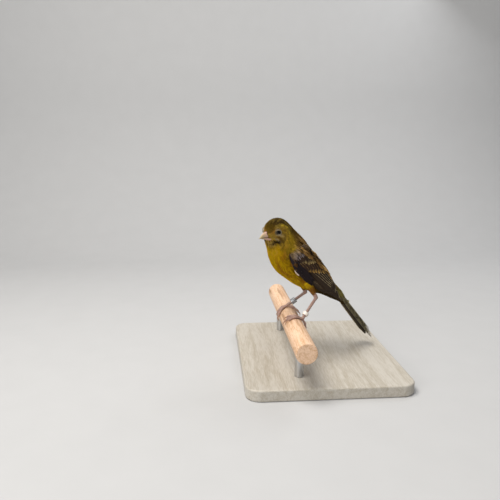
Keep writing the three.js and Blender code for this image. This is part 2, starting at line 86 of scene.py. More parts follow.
def finish_piece(mesh_data, name, material, replaced=()):
    """Puts a mesh in the scene as a piece that rides with the object and stands for its nodes."""
    piece = bpy.data.objects.new(name, mesh_data)
    bpy.context.scene.collection.objects.link(piece)
    mesh_data.materials.append(material)
    mesh_data.shade_smooth()
    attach(piece, "root")
    if replaced:
        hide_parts(*replaced)
    return piece


def grain_material(name, pale, dark, along, ring_mm, roughness, bump_mm):
    """Planed wood: long soft rings and short pores that run along one axis."""
    material, tree, shader = new_material(name, roughness)
    place = add_node(tree, "ShaderNodeTexCoord")
    stretch = [1 / ring_mm / MM] * 3
    stretch["XYZ".index(along)] /= 14
    rings = add_node(tree, "ShaderNodeMapping", {"Vector": place.outputs["Object"], "Scale": stretch})
    growth = add_node(tree, "ShaderNodeTexNoise", {
        "Vector": rings.outputs["Vector"], "Scale": 0.55, "Detail": 5.0, "Roughness": 0.6, "Distortion": 0.8})
    pores = add_node(tree, "ShaderNodeTexNoise", {
        "Vector": rings.outputs["Vector"], "Scale": 4.2, "Detail": 3.0, "Roughness": 0.7})
    both = add_node(tree, "ShaderNodeMath", {
        0: growth.outputs["Fac"], 1: pores.outputs["Fac"]}, operation="MULTIPLY")
    ramp = add_node(tree, "ShaderNodeValToRGB", {"Fac": both.outputs[0]})
    ramp.color_ramp.elements[0].position = 0.16
    ramp.color_ramp.elements[0].color = linear(dark)
    ramp.color_ramp.elements[1].position = 0.30
    ramp.color_ramp.elements[1].color = linear(pale)
    tree.links.new(ramp.outputs["Color"], shader.inputs["Base Color"])
    relief = add_node(tree, "ShaderNodeBump", {
        "Height": pores.outputs["Fac"], "Strength": 0.5, "Distance": bump_mm * MM})
    tree.links.new(relief.outputs["Normal"], shader.inputs["Normal"])
    return material


def mesh_from(shape, name):
    """Closes a bmesh into mesh data with its faces pointing out."""
    bmesh.ops.recalc_face_normals(shape, faces=shape.faces)
    data = bpy.data.meshes.new(name)
    shape.to_mesh(data)
    shape.free()
    return data


def level_edges(shape):
    """Edges that lie level, such as the rims of a board or of an upright rod."""
    return [e for e in shape.edges if abs(e.verts[0].co.z - e.verts[1].co.z) < LEVEL]


def ease(shape, edges, radius, steps):
    """Rounds edges over by a radius in millimetres."""
    bmesh.ops.bevel(
        shape, geom=edges, offset=radius * MM, affect="EDGES", segments=steps, profile=0.5, material=-1)


board = bmesh.new()
bmesh.ops.create_cube(board, size=1.0, matrix=Matrix.Diagonal((*[s * MM for s in BASE_SIZE], 1.0)))
bmesh.ops.translate(board, verts=board.verts, vec=(0, 0, BASE_SIZE[2] / 2 * MM))
corners = [e for e in board.edges if abs(e.verts[0].co.z - e.verts[1].co.z) > MM]
ease(board, corners, BASE_CORNER, 10)
rims = [e for e in level_edges(board)
        if len(e.link_faces) == 2 and abs(e.link_faces[0].normal.z - e.link_faces[1].normal.z) > 0.5]
ease(board, rims, BASE_EDGE, 4)
limed_ash = grain_material("limed_ash", LIMED_ASH, LIMED_ASH_GRAIN, "Y", 2.6, 0.55, 0.03)
base_data = mesh_from(board, "base_board")
base_piece = finish_piece(base_data, "base_board", limed_ash, ["stand_base"])
base_piece.modifiers.new("even_shading", "WEIGHTED_NORMAL")


# Two short rods of bright drawn steel stand in the base and carry the dowel in cupped tops.
ROD_RADIUS = 3
ROD_SPACING = 92
ROD_EASE = 0.3
ROD_CLEARANCE = 0.1
ROD_CUP = 0.5
PERCH_RADIUS = 7
PERCH_TOP = 41
PERCH_X = -19
STEEL = "c3c4c6"

steel, tree, shader = new_material("drawn_steel", 0.3, Metallic=1.0, Base_Color=linear(STEEL))
place = add_node(tree, "ShaderNodeTexCoord")
drawn = add_node(tree, "ShaderNodeMapping", {"Vector": place.outputs["Object"], "Scale": (9000, 9000, 300)})
lines = add_node(tree, "ShaderNodeTexNoise", {"Vector": drawn.outputs["Vector"], "Scale": 1.0, "Detail": 2.0})
sheen = add_node(tree, "ShaderNodeMapRange", {"Value": lines.outputs["Fac"], "To Min": 0.22, "To Max": 0.42})
tree.links.new(sheen.outputs["Result"], shader.inputs["Roughness"])
for word, y in (("front", -ROD_SPACING / 2), ("back", ROD_SPACING / 2)):
    rod = bmesh.new()
    foot = BASE_SIZE[2] + ROD_CLEARANCE
    # The top of the rod goes on until it meets the round underside of the dowel.
    top = PERCH_TOP - 2 * PERCH_RADIUS + ROD_CUP
    bmesh.ops.create_cone(
        rod, cap_ends=True, segments=48, radius1=ROD_RADIUS * MM, radius2=ROD_RADIUS * MM,
        depth=(top - foot) * MM, matrix=Matrix.Translation((PERCH_X * MM, y * MM, (top + foot) / 2 * MM)))
    ease(rod, level_edges(rod), ROD_EASE, 3)
    name = f"rod_{word}"
    piece = finish_piece(mesh_from(rod, name), name, steel, [f"stand_rod_{word}"])
    piece.modifiers.new("even_shading", "WEIGHTED_NORMAL")


# The perch is a cut length of bare turned beech dowel, peach coloured, with fine brown pores
# along it, a few darker streaks, and sawn ends that are slightly eased.
PERCH_LENGTH = 144
PERCH_EASE = 0.9
BEECH = "e3c2a6"
BEECH_PORE = "c39a74"
BEECH_STREAK = "946a45"

dowel = bmesh.new()
bmesh.ops.create_cone(
    dowel, cap_ends=True, segments=96, radius1=PERCH_RADIUS * MM, radius2=PERCH_RADIUS * MM,
    depth=PERCH_LENGTH * MM)
ease(dowel, level_edges(dowel), PERCH_EASE, 5)
bmesh.ops.rotate(dowel, verts=dowel.verts, cent=(0, 0, 0), matrix=Matrix.Rotation(math.pi / 2, 3, "X"))
bmesh.ops.translate(dowel, verts=dowel.verts, vec=(PERCH_X * MM, 0, (PERCH_TOP - PERCH_RADIUS) * MM))
beech = grain_material("turned_beech", BEECH, BEECH_PORE, "Y", 1.3, 0.6, 0.05)
tree = beech.node_tree
shader = tree.nodes["Principled BSDF"]
ground = shader.inputs["Base Color"].links[0].from_socket
place = add_node(tree, "ShaderNodeTexCoord")
long_streak = add_node(tree, "ShaderNodeMapping", {
    "Vector": place.outputs["Object"], "Scale": (260, 22, 260)})
streak = add_node(tree, "ShaderNodeTexNoise", {
    "Vector": long_streak.outputs["Vector"], "Scale": 1.0, "Detail": 3.0})
where = add_node(tree, "ShaderNodeMapRange", {
    "Value": streak.outputs["Fac"], "From Min": 0.60, "From Max": 0.70, "To Max": 0.7})
stained = add_node(tree, "ShaderNodeMix", {
    0: where.outputs["Result"], 6: ground, 7: linear(BEECH_STREAK)}, data_type="RGBA")
tree.links.new(stained.outputs[2], shader.inputs["Base Color"])
dowel_piece = finish_piece(mesh_from(dowel, "dowel"), "dowel", beech, ["perch"])
dowel_piece.modifiers.new("even_shading", "WEIGHTED_NORMAL")


# The bird's skin is one smooth body from the face to the end of the rump. It lies under the
# plumage by the depth of the coat, and carries the same markings as the feathers over it.
BIRD_Y = -10
BIRD_TURN = math.radians(16)
HEAD_TURN = math.radians(20)
HEAD_PIVOT = -8
# Each section: back x and z, front x and z, and half the width, in the bird's own frame.
SECTIONS = np.array([
    (-21.4, 62.6, -21.2, 55.4, 4.4),
    (-20.3, 66.2, -20.4, 52.6, 7.0),
    (-17.0, 69.0, -19.4, 50.2, 8.6),
    (-12.0, 69.8, -18.8, 47.6, 9.3),
    (-7.0, 68.0, -18.3, 45.0, 9.6),
    (-2.6, 64.4, -17.7, 42.4, 10.2),
    (2.4, 59.4, -16.7, 39.6, 11.1),
    (8.0, 53.8, -14.8, 35.8, 11.6),
    (13.8, 46.0, -11.0, 30.8, 11.5),
    (19.5, 37.8, -5.2, 26.2, 11.0),
    (25.0, 30.4, 1.2, 21.6, 10.0),
    (30.0, 23.4, 8.4, 17.6, 8.6),
    (35.3, 17.9, 15.8, 14.2, 6.8),
    (39.8, 13.3, 24.4, 11.6, 5.4),
    (43.9, 8.7, 32.8, 6.6, 4.0),
])
LAST = len(SECTIONS) - 1
COAT_DEPTH = 1.3
FACE = -0.95
# Vertices closer than this, in metres, are one where a wrapped grid meets itself.
SEAM = 2e-6
# Past the first section the face runs on over the root of the bill.
FACE_SECTIONS = np.array([(-28.0, 58.2, -23.4, 56.0, 0.5), (-24.5, 60.5, -22.4, 55.8, 2.4)])


def in_row(points):
    """Takes points from the bird's own frame in millimetres to the row's frame in metres."""
    c, s = math.cos(BIRD_TURN), math.sin(BIRD_TURN)
    x = c * points[..., 0] - s * points[..., 1] + PERCH_X
    y = s * points[..., 0] + c * points[..., 1] + BIRD_Y
    return np.stack([x, y, points[..., 2] + PERCH_TOP], -1) * MM


def smooth(value, start, end):
    """A soft step from 0 at start to 1 at end."""
    share = np.clip((value - start) / (end - start), 0, 1)
    return share * share * (3 - 2 * share)


def section_at(number):
    """The body's section at any number along it, which runs on straight past both ends."""
    table = np.vstack([FACE_SECTIONS, SECTIONS,
                       2 * SECTIONS[-1] - SECTIONS[-2], 3 * SECTIONS[-1] - 2 * SECTIONS[-2]])
    at = np.clip(np.asarray(number, float) + 2, 1, LAST + 2.999)
    low = np.floor(at).astype(int)
    t = (at - low)[..., None]
    a, b, c, d = table[low - 1], table[low], table[low + 1], table[low + 2]
    square, cube = 2 * a - 5 * b + 4 * c - d, 3 * b - a - 3 * c + d
    return 0.5 * (2 * b + (c - a) * t + square * t ** 2 + cube * t ** 3)


def turn_head(points, share=1.0):
    """Turns points about the pivot in the neck, by the head's whole turn or a share of it."""
    angle = HEAD_TURN * share
    x = points[..., 0] - HEAD_PIVOT
    y = points[..., 1]
    return np.stack([HEAD_PIVOT + x * np.cos(angle) - y * np.sin(angle),
                     x * np.sin(angle) + y * np.cos(angle), points[..., 2]], -1)


def skin_point(number, degrees):
    """A point of the body's outer form, degrees round from the middle of the back."""
    number, degrees = np.broadcast_arrays(np.asarray(number, float), np.asarray(degrees, float))
    section = section_at(number)
    angle = np.radians(degrees)
    share = (1 - np.cos(angle)) / 2
    x = section[..., 0] * (1 - share) + section[..., 2] * share
    z = section[..., 1] * (1 - share) + section[..., 3] * share
    points = np.stack([x, -section[..., 4] * np.sin(angle), z], -1)
    return turn_head(points, 1 - smooth(number, 3.5, 7.5))


def unit(vectors):
    """The same directions with a length of one."""
    return vectors / np.maximum(np.linalg.norm(vectors, axis=-1, keepdims=True), 1e-9)


def skin_frame(number, degrees):
    """Directions along the body to the tail and straight out of it, with the length of a step."""
    number, degrees = np.asarray(number), np.asarray(degrees)
    ahead = (skin_point(number + 0.05, degrees) - skin_point(number - 0.05, degrees)) / 0.1
    round_it = skin_point(number, degrees + 1) - skin_point(number, degrees - 1)
    return unit(ahead), unit(np.cross(round_it, ahead)), np.linalg.norm(ahead, axis=-1)


def over_skin(number, degrees, height):
    """A place at some height over the body's outer form."""
    out = skin_frame(number, degrees)[1]
    return skin_point(number, degrees) + out * np.asarray(height, float)[..., None]


STREAK_TABLE = np.random.default_rng(5).uniform(0, 1, (40, 72))


def streaks(number, degrees):
    """A soft field of streaks from 0 to 1 that run along the body, finer on the head."""
    row = np.asarray(number, float) * np.where(np.asarray(number) < 4.5, 2.0, 1.1) + 3
    column = (np.asarray(degrees, float) % 360) / 5
    i, k = np.floor(row).astype(int) % 39, np.floor(column).astype(int) % 72
    f, g = row - np.floor(row), column - np.floor(column)
    near = STREAK_TABLE[i, k] * (1 - g) + STREAK_TABLE[i, (k + 1) % 72] * g
    far = STREAK_TABLE[i + 1, k] * (1 - g) + STREAK_TABLE[i + 1, (k + 1) % 72] * g
    return near * (1 - f) + far * f


def spot(number, degrees, at, spread):
    """A soft round patch on the body, 1 at its middle."""
    return np.exp(-((number - at[0]) / spread[0]) ** 2 - ((degrees - at[1]) / spread[1]) ** 2)


CROWN = "6a5826"
CROWN_DARK = "3a2a10"
FOREHEAD = "57430f"
LORE = "80571f"
BROW = "c8ac34"
CHEEK = "94782e"
CHEEK_GOLD = "b8942c"
CHEEK_BUFF = "b39e72"
CHEEK_BROWN = "5a3415"
EYE_PATCH = "b5aa98"
MALAR = "120904"
CHIN = "a68a44"
CHIN_BROWN = "6a4c1c"
NAPE = "6e5420"
NECK_SIDE = "a08420"
NECK_BROWN = "9c6e2a"
WING_BROWN = "3a2818"
WING_LILAC = "776d70"
BREAST = "b08c06"
BREAST_OCHRE = "8a5c14"
BREAST_LIGHT = "d6b010"
BELLY = "bc9a0e"
# Painted shade: this dark brown stands for the shadow that falls on the vent and undertail under the tail and
# wings.
VENT_PAINTED_SHADE = "3d2e14"
THIGH = "7e5520"
MANTLE = "7e5f34"
MANTLE_BUFF = "b8935a"
MANTLE_STREAK = "22160c"
RUMP = "8a8048"
RUMP_STREAK = "4a4024"


def markings(number, degrees, chance):
    """Plumage colour at a place on the body, with a random number from 0 to 1 for each feather."""
    s = np.asarray(number, float)
    a = np.abs((np.asarray(degrees, float) + 180) % 360 - 180)
    colour = np.broadcast_to(linear(BREAST)[:3], s.shape + (3,)).copy()

    def lay(hex_colour, amount):
        share = np.clip(amount, 0, 1)[..., None]
        colour[...] = colour * (1 - share) + np.array(linear(hex_colour)[:3]) * share

    # Underparts: golden breast, ochre along the flank, yellow belly, and painted shade in dark brown on the
    # vent under the tail.
    lay(BELLY, smooth(s, 8.0, 9.6) * smooth(a, 112, 135))
    lay(BREAST_OCHRE, smooth(a, 150, 122) * smooth(s, 4.8, 6.5) * (0.15 + 0.8 * smooth(chance, 0.45, 0.6)))
    lay(BREAST_OCHRE, 0.9 * spot(s, a, (8.0, 150), (2.4, 10)) * smooth(chance, 0.4, 0.55))
    lay(BREAST_LIGHT, 0.8 * smooth(chance, 0.5, 0.35) * smooth(a, 118, 136) * smooth(s, 2.6, 3.6))
    # The vent and undertail are painted dark brown as shade that falls under the tail and wings.
    lay(VENT_PAINTED_SHADE, smooth(s, 10.8, 11.8) * smooth(a, 88, 112))
    # Neck and back: olive sides, brown mantle with black streaks, and an olive rump.
    lay(NECK_SIDE, smooth(a, 124, 100) * smooth(s, 3.6, 4.6) * smooth(s, 7.6, 6.8))
    lay(NECK_BROWN, 0.9 * spot(s, a, (5.7, 106), (0.8, 10)) * smooth(chance, 0.35, 0.5))
    shoulder = smooth(s, 6.4, 6.9) * smooth(a, 62, 72) * smooth(a, 114, 106)
    lay(WING_BROWN, 0.95 * shoulder)
    lay(WING_LILAC, 0.7 * shoulder * smooth(chance, 0.48, 0.6) * smooth(a, 104, 92))
    lay(RUMP, smooth(a, 104, 74) * smooth(s, 11, 12.3))
    lay(NAPE, smooth(a, 76, 52) * smooth(s, 3.2, 4.6) * smooth(s, 7, 6))
    back = smooth(a, 84, 68) * smooth(s, 5.8, 6.8) * smooth(s, 13, 11.8)
    lay(MANTLE, back)
    lay(MANTLE_BUFF, 0.9 * back * smooth(chance, 0.58, 0.70))
    lay(MANTLE_STREAK, 0.95 * back * smooth(chance, 0.46, 0.36))
    lay(RUMP_STREAK, 0.6 * smooth(a, 104, 74) * smooth(s, 11, 12.3) * smooth(chance, 0.46, 0.36))
    # Head: brown crown, pale brow, olive cheek with bars under the eye, and black malar marks.
    lay(CHIN, smooth(s, 2.8, 1.8) * smooth(a, 126, 140))
    lay(CHIN_BROWN, 0.7 * smooth(s, 2.8, 1.8) * smooth(a, 126, 140) * smooth(chance, 0.5, 0.4))
    lay(CHEEK, smooth(s, 5.0, 4.0) * smooth(a, 134, 124))
    lay(CHEEK_GOLD, 0.7 * smooth(s, 2.4, 3.2) * smooth(s, 5.0, 4.4)
        * smooth(a, 60, 75) * smooth(chance, 0.46, 0.56))
    lay(CROWN, smooth(s, 5.2, 4.4) * smooth(a, 60, 50))
    lay(CROWN_DARK, 0.85 * smooth(s, 5.6, 4.6) * smooth(a, 54, 44) * smooth(chance, 0.52, 0.4))
    lay(FOREHEAD, smooth(s, 1.8, 0.9) * smooth(a, 56, 44))
    lay(LORE, 0.8 * spot(s, a, (0.3, 64), (0.7, 16)))
    patchy = 0.25 + 0.85 * smooth(chance, 0.42, 0.56)
    lay(BROW, patchy * (1.3 * spot(s, a, (3.0, 54), (0.8, 6)) + 1.1 * spot(s, a, (4.2, 62), (0.6, 9))))
    lay(CHEEK_BROWN, 0.6 * spot(s, a, (3.1, 72), (0.5, 4)))
    lay(EYE_PATCH, 1.2 * spot(s, a, (1.3, 74), (0.4, 11)) + 0.5 * spot(s, a, (1.9, 88), (0.6, 4)))
    lay(CHEEK_BUFF, 1.0 * spot(s, a, (2.0, 93), (1.0, 4)))
    lay(CHEEK_BROWN, 1.1 * spot(s, a, (1.8, 104), (0.8, 4.5)) + 0.9 * spot(s, a, (2.8, 110), (0.5, 4)))
    lay(CHEEK_BUFF, 1.2 * spot(s, a, (1.5, 117), (0.8, 5)))
    for at in ((1.1, 138), (1.6, 131), (2.1, 125), (2.6, 119)):
        lay(MALAR, 2.6 * spot(s, a, at, (0.38, 5)))
    lay(MALAR, 3.0 * spot(s, np.asarray(degrees, float), (1.5, 157), (0.3, 9)))
    return colour * (0.52 + 0.96 * chance[..., None])


def paint(data, name, colours):
    """Stores one colour for each vertex, under a name that a material reads."""
    layer = data.attributes.new(name, "FLOAT_COLOR", "POINT")
    full = np.concatenate([colours.reshape(-1, 3), np.ones((colours.size // 3, 1))], 1)
    layer.data.foreach_set("color", full.astype(np.float32).ravel())


def wrap_grid(name, columns, rows, surface):
    """Wraps a grid round a form: across it once round, up it from one end to the other. The
    surface gives a place in the bird's frame for shares of both. Returns mesh data and shares."""
    shape = bmesh.new()
    shape.loops.layers.uv.new("OFBake")
    bmesh.ops.create_grid(shape, x_segments=columns, y_segments=rows, size=0.5, calc_uvs=True)
    shares = np.array([(v.co.x + 0.5, v.co.y + 0.5) for v in shape.verts])
    for vert, point in zip(shape.verts, in_row(surface(shares[:, 0], shares[:, 1]))):
        vert.co = Vector(point)
    data = bpy.data.meshes.new(name)
    return shape, data, shares


def close_form(shape, data):
    """Joins a wrapped grid's seam, closes its ends and points its faces out."""
    bmesh.ops.remove_doubles(shape, verts=shape.verts, dist=SEAM)
    bmesh.ops.holes_fill(shape, edges=[e for e in shape.edges if e.is_boundary])
    bmesh.ops.recalc_face_normals(shape, faces=shape.faces)
    shape.to_mesh(data)
    shape.free()


def paint_and_close(shape, data, colours):
    """Paints the plumage of a wrapped grid, one colour for each vertex, and then closes it."""
    shape.to_mesh(data)
    shape.free()
    paint(data, "plumage", colours)
    shape = bmesh.new()
    shape.from_mesh(data)
    close_form(shape, data)


def plain(hex_colour, count, strength=1.0):
    """The same colour for each of so many vertices."""
    return np.tile(np.array(linear(hex_colour)[:3]) * strength, (count, 1))


form, skin_data, shares = wrap_grid("skin", 72, 110, lambda u, v: over_skin(
    FACE + v * (LAST - FACE), 360 * u, -COAT_DEPTH * smooth(v, -0.02, 0.10)))
sections, turns = FACE + shares[:, 1] * (LAST - FACE), 360 * shares[:, 0]
paint_and_close(form, skin_data, markings(sections, turns, np.full(len(shares), 0.5)) * 0.5)

# Down shows between the feathers as a dull, soft ground in the colours of the plumage.
down, tree, shader = new_material("down", 0.95)
coat_colour = add_node(tree, "ShaderNodeAttribute", attribute_name="plumage")
place = add_node(tree, "ShaderNodeTexCoord")
fluff = add_node(tree, "ShaderNodeTexNoise", {
    "Vector": place.outputs["Object"], "Scale": 1400.0, "Detail": 2.0})
shade = add_node(tree, "ShaderNodeMapRange", {"Value": fluff.outputs["Fac"], "To Min": 0.7, "To Max": 1.2})
dull = add_node(tree, "ShaderNodeMix", {0: 1.0, 6: coat_colour.outputs["Color"], 7: shade.outputs["Result"]},
                data_type="RGBA", blend_type="MULTIPLY")
tree.links.new(dull.outputs[2], shader.inputs["Base Color"])
relief = add_node(tree, "ShaderNodeBump", {"Height": fluff.outputs["Fac"], "Distance": 0.1 * MM})
tree.links.new(relief.outputs["Normal"], shader.inputs["Normal"])
finish_piece(skin_data, "skin", down, ["head", "neck", "torso"])


# The bill is a short cone of pale pink horn, yellowish towards its tip. The mandibles meet on
# a line that bends down at the gape, and a nostril opens on each side near the forehead.
BILL_TIP = np.array([-29.6, 57.2])
BILL_MOUTH = np.array([-19.0, 57.4])
BILL_TOP = 61.1
BILL_FOOT = 55.5
BILL_HALF = 3.1
HORN_PINK = "c89c98"
HORN_TIP = "ad9c78"


def mandible(u, v, upper):
    """One mandible: across it once round, out from its root to its tip."""
    v = v ** 1.1
    line = BILL_MOUTH[:, None] + (BILL_TIP - BILL_MOUTH)[:, None] * v
    # The edge of the mouth bends down a little towards the gape.
    edge = line[1] - 0.9 * (1 - v) ** 3
    round_off = np.sqrt(np.clip(1 - v ** (3.4 if upper else 2.8), 0.0002, 1))
    height = (BILL_TOP - BILL_MOUTH[1]) if upper else (BILL_MOUTH[1] - BILL_FOOT)
    depth = height * (1 - v ** 2.8) ** 0.9 if upper else height * (1 - v ** 1.9)
    half = (BILL_HALF if upper else BILL_HALF - 0.55) * (1 - 0.78 * v) * round_off
    reach = 1.0 if upper else 0.965
    x = BILL_MOUTH[0] + (line[0] - BILL_MOUTH[0]) * reach
    angle = 2 * np.pi * u
    rise = np.sin(angle)
    hump = np.clip(rise, 0, 1) ** 0.85 * depth + np.clip(rise, -1, 0) * 0.25
    culmen = 0.5 * np.sin(np.pi * v) - 0.5 * v ** 4 if upper else 0 * v
    z = edge + (hump + 0.12 if upper else -hump - 0.12) + culmen
    y = half * np.cos(angle)
    # A groove over each nostril, and the nostril's own pit.
    side = np.abs(np.cos(angle))
    pit = np.exp(-((x + 22.6) / 0.45) ** 2 - ((z - 60.0) / 0.4) ** 2) if upper else 0 * v
    y = y * (1 - 0.30 * pit * side)
    return turn_head(np.stack([x, y, z], -1))


horn, tree, shader = new_material("bill_horn", 0.38, Subsurface_Weight=0.15, Subsurface_Scale=0.0006)
shader.inputs["Subsurface Radius"].default_value = (1.0, 0.4, 0.3)
along_bill = add_node(tree, "ShaderNodeAttribute", attribute_name="out")
place = add_node(tree, "ShaderNodeTexCoord")
blotch = add_node(tree, "ShaderNodeTexNoise", {
    "Vector": place.outputs["Object"], "Scale": 380.0, "Detail": 4.0})
shifted = add_node(tree, "ShaderNodeMath", {
    0: along_bill.outputs["Fac"], 1: blotch.outputs["Fac"]}, operation="ADD")
ramp = add_node(tree, "ShaderNodeMapRange", {"Value": shifted.outputs[0], "From Min": 0.65, "From Max": 1.35})
tint = add_node(tree, "ShaderNodeMix", {
    0: ramp.outputs["Result"], 6: linear(HORN_PINK), 7: linear(HORN_TIP)}, data_type="RGBA")
tree.links.new(tint.outputs[2], shader.inputs["Base Color"])
relief = add_node(tree, "ShaderNodeBump", {
    "Height": blotch.outputs["Fac"], "Strength": 0.4, "Distance": 0.06 * MM})
tree.links.new(relief.outputs["Normal"], shader.inputs["Normal"])


def store(data, name, values):
    """Stores one number for each vertex, under a name that a material reads."""
    layer = data.attributes.new(name, "FLOAT", "POINT")
    layer.data.foreach_set("value", np.asarray(values, np.float32))


for word, upper in (("upper", True), ("lower", False)):
    form, data, shares = wrap_grid(f"bill_{word}", 40, 36, lambda u, v: mandible(u, v, upper))
    close_form(form, data)
    points = np.array([v.co for v in data.vertices])
    root = in_row(turn_head(np.array([BILL_MOUTH[0], 0, BILL_MOUTH[1]])))
    tip = in_row(turn_head(np.array([BILL_TIP[0], 0, BILL_TIP[1]])))
    store(data, "out", (points - root) @ (tip - root) / np.dot(tip - root, tip - root))
    finish_piece(data, f"bill_{word}", horn, [f"bill_{word}"])


# Eyes are dark brown and wet. Each sits deep under lids of bare grey skin with minute folds,
# which leave an almond-shaped opening.
EYE_PLACE = (-18.1, 61.0)
EYE_OUT = 6.5
EYE_RADIUS = 2.15
LID_GREY = "a99e86"
LID_DARK = "4e4022"
LID_OPEN_LONG = 47
LID_OPEN_HIGH = 27
IRIS_BROWN = "180d07"
PUPIL_BLACK = "040302"

cornea, tree, shader = new_material(
    "wet_eye", 0.12, Coat_Weight=0.05, Coat_Roughness=0.05, IOR=1.376, Specular_IOR_Level=0.2)
outward = add_node(tree, "ShaderNodeAttribute", attribute_name="outward")
iris = add_node(tree, "ShaderNodeMapRange", {
    "Value": outward.outputs["Fac"], "From Min": 0.78, "From Max": 0.84})
tint = add_node(tree, "ShaderNodeMix", {
    0: iris.outputs["Result"], 6: linear(IRIS_BROWN), 7: linear(PUPIL_BLACK)}, data_type="RGBA")
tree.links.new(tint.outputs[2], shader.inputs["Base Color"])

bare_lid, tree, shader = new_material("bare_lid", 0.6)
fore = add_node(tree, "ShaderNodeAttribute", attribute_name="fore")
place = add_node(tree, "ShaderNodeTexCoord")
fold = add_node(tree, "ShaderNodeTexVoronoi", {"Vector": place.outputs["Object"], "Scale": 3200.0})
pale = add_node(tree, "ShaderNodeMath", {
    0: fore.outputs["Fac"], 1: fold.outputs["Distance"]}, operation="MULTIPLY")
tint = add_node(tree, "ShaderNodeMix", {
    0: pale.outputs[0], 6: linear(LID_DARK), 7: linear(LID_GREY)}, data_type="RGBA")
tree.links.new(tint.outputs[2], shader.inputs["Base Color"])
relief = add_node(tree, "ShaderNodeBump", {"Height": fold.outputs["Distance"], "Distance": 0.08 * MM})
tree.links.new(relief.outputs["Normal"], shader.inputs["Normal"])


def set_upright(shape, start, end, place):
    """Turns a form that stands along z so that it stands from start to end, and puts it in place."""
    aim = Vector((0, 0, 1)).rotation_difference(Vector(in_row(end) - in_row(start))).to_matrix()
    bmesh.ops.rotate(shape, verts=shape.verts, cent=(0, 0, 0), matrix=aim)
    bmesh.ops.translate(shape, verts=shape.verts, vec=Vector(in_row(place)))


eye_centres = {}
for word, side in (("left", 1), ("right", -1)):
    centre = turn_head(np.array([EYE_PLACE[0], -side * EYE_OUT, EYE_PLACE[1]]))
    looks_at = turn_head(np.array([HEAD_PIVOT - 0.62, -side, 0.08]))
    out = unit(looks_at - turn_head(np.array([float(HEAD_PIVOT), 0, 0])))
    eye_centres[side] = (centre, out)
    ball = bmesh.new()
    bmesh.ops.create_uvsphere(ball, u_segments=48, v_segments=32, radius=EYE_RADIUS * MM)
    set_upright(ball, centre, centre + out, centre)
    data = mesh_from(ball, f"eye_{word}")
    points = np.array([v.co for v in data.vertices])
    direction = unit(in_row(centre + out) - in_row(centre))
    store(data, "outward", (points - in_row(centre)) @ direction / (EYE_RADIUS * MM))
    finish_piece(data, f"eye_{word}", cornea, [f"eye_{word}"])

    upright = np.array([0.16, 0.0, 1.0])
    upright = unit(upright - (upright @ out) * out)
    forward = np.cross(upright, out)

    def lid(u, v, centre=centre, out=out, upright=upright, forward=forward):
        """A shell of lid over the ball: round the opening by u, and round its own section by v."""
        turn = 2 * np.pi * u
        around = 2 * np.pi * v
        inner = np.radians(LID_OPEN_HIGH + (LID_OPEN_LONG - LID_OPEN_HIGH) * np.abs(np.cos(turn)) ** 1.7)
        outer = np.radians(84)
        swing = (inner + outer) / 2 - (outer - inner) / 2 * np.cos(around)
        rim = np.exp(-((swing - inner) / 0.16) ** 2)
        radius = EYE_RADIUS + 0.14 + (0.06 + 0.13 * rim) * np.sin(around)
        flat = forward * np.cos(turn)[:, None] + upright * np.sin(turn)[:, None]
        return centre + radius[:, None] * (out * np.cos(swing)[:, None] + flat * np.sin(swing)[:, None])

    form, data, shares = wrap_grid(f"lid_{word}", 56, 28, lid)
    close_form(form, data)
    points = np.array([v.co for v in data.vertices]) - in_row(centre)
    toward_bill = unit(in_row(centre + forward - 0.5 * upright) - in_row(centre))
    store(data, "fore", 1.2 * smooth(points @ toward_bill / (EYE_RADIUS * MM), -0.3, 0.9))
    finish_piece(data, f"lid_{word}", bare_lid)


# Contour feathers cover the body like shingles from the bill back to the rump. Each is a small
# curved vane with a soft tip, and loose barbs over them blur their edges.
EYE_CLEAR = 1.9
WING_COVER = 3.9
SECTION_LENGTH = 4.6
BODY_RADIUS = 9
# Degrees in a radian, roughly.
RADIAN = 57


def vane_mesh(name, centre, across, up, half, thick, curl=0.15, ring=(-1, 0, 1), turn=None):
    """Builds many feathers as closed vanes. Each has stations along it with a centre, directions
    across and up, half a width and a thickness. The ring lists the places across its top."""
    feathers, stations = half.shape
    ring = np.array(ring, float)
    under = ring[1:-1][::-1]
    places = np.concatenate([ring, under])
    top = np.concatenate([np.ones(len(ring)), -np.ones(len(under))])
    bulge = (1 - np.abs(places)) * top
    drop = -curl * places ** 2
    count = len(places)
    h = half[..., None, None]
    points = (centre[:, :, None] + across[:, :, None] * h * places[:, None]
              + up[:, :, None] * (h * drop[:, None] + thick[..., None, None] * 0.5 * bulge[:, None]))
    base = np.arange(feathers)[:, None, None] * stations * count
    i = np.arange(stations - 1)[None, :, None] * count
    k = np.arange(count)[None, None, :]
    k2 = (k + 1) % count
    quads = np.stack([base + i + k, base + i + k2, base + i + count + k2, base + i + count + k], -1)
    root = np.arange(feathers)[:, None] * stations * count
    caps = [root + np.arange(count)[::-1], root + (stations - 1) * count + np.arange(count)]
    faces = quads.reshape(-1, 4).tolist() + np.concatenate(caps).tolist()
    data = bpy.data.meshes.new(name)
    data.from_pydata(in_row(points).reshape(-1, 3).tolist(), [], faces)
    span = np.broadcast_to(places, (feathers, stations, count)).reshape(-1)
    steps = np.linspace(0, 1, stations)[:, None]
    length = np.broadcast_to(steps, (feathers, stations, count)).reshape(-1)
    store(data, "across", span)
    store(data, "along", length)
    return data, span, length, stations * count


def corner_verts(data):
    """The vertex at each corner of each face."""
    verts = np.empty(len(data.loops), np.int32)
    data.loops.foreach_get("vertex_index", verts)
    return verts


def store_map(data, uv):
    """Stores the bake's map, one place for each corner of each face."""
    layer = data.uv_layers.new(name="OFBake")
    layer.data.foreach_set("uv", uv.astype(np.float32).ravel())


def bake_patches(data, span, length, home, size=0.003):
    """Gives each tuft a small patch of the map, where its root lies on the skin's own unwrap."""
    verts = corner_verts(data)
    uv = home[verts] + size / 2 * np.stack([span[verts], 2 * length[verts] - 1], -1)
    store_map(data, np.clip(uv, 0, 1))


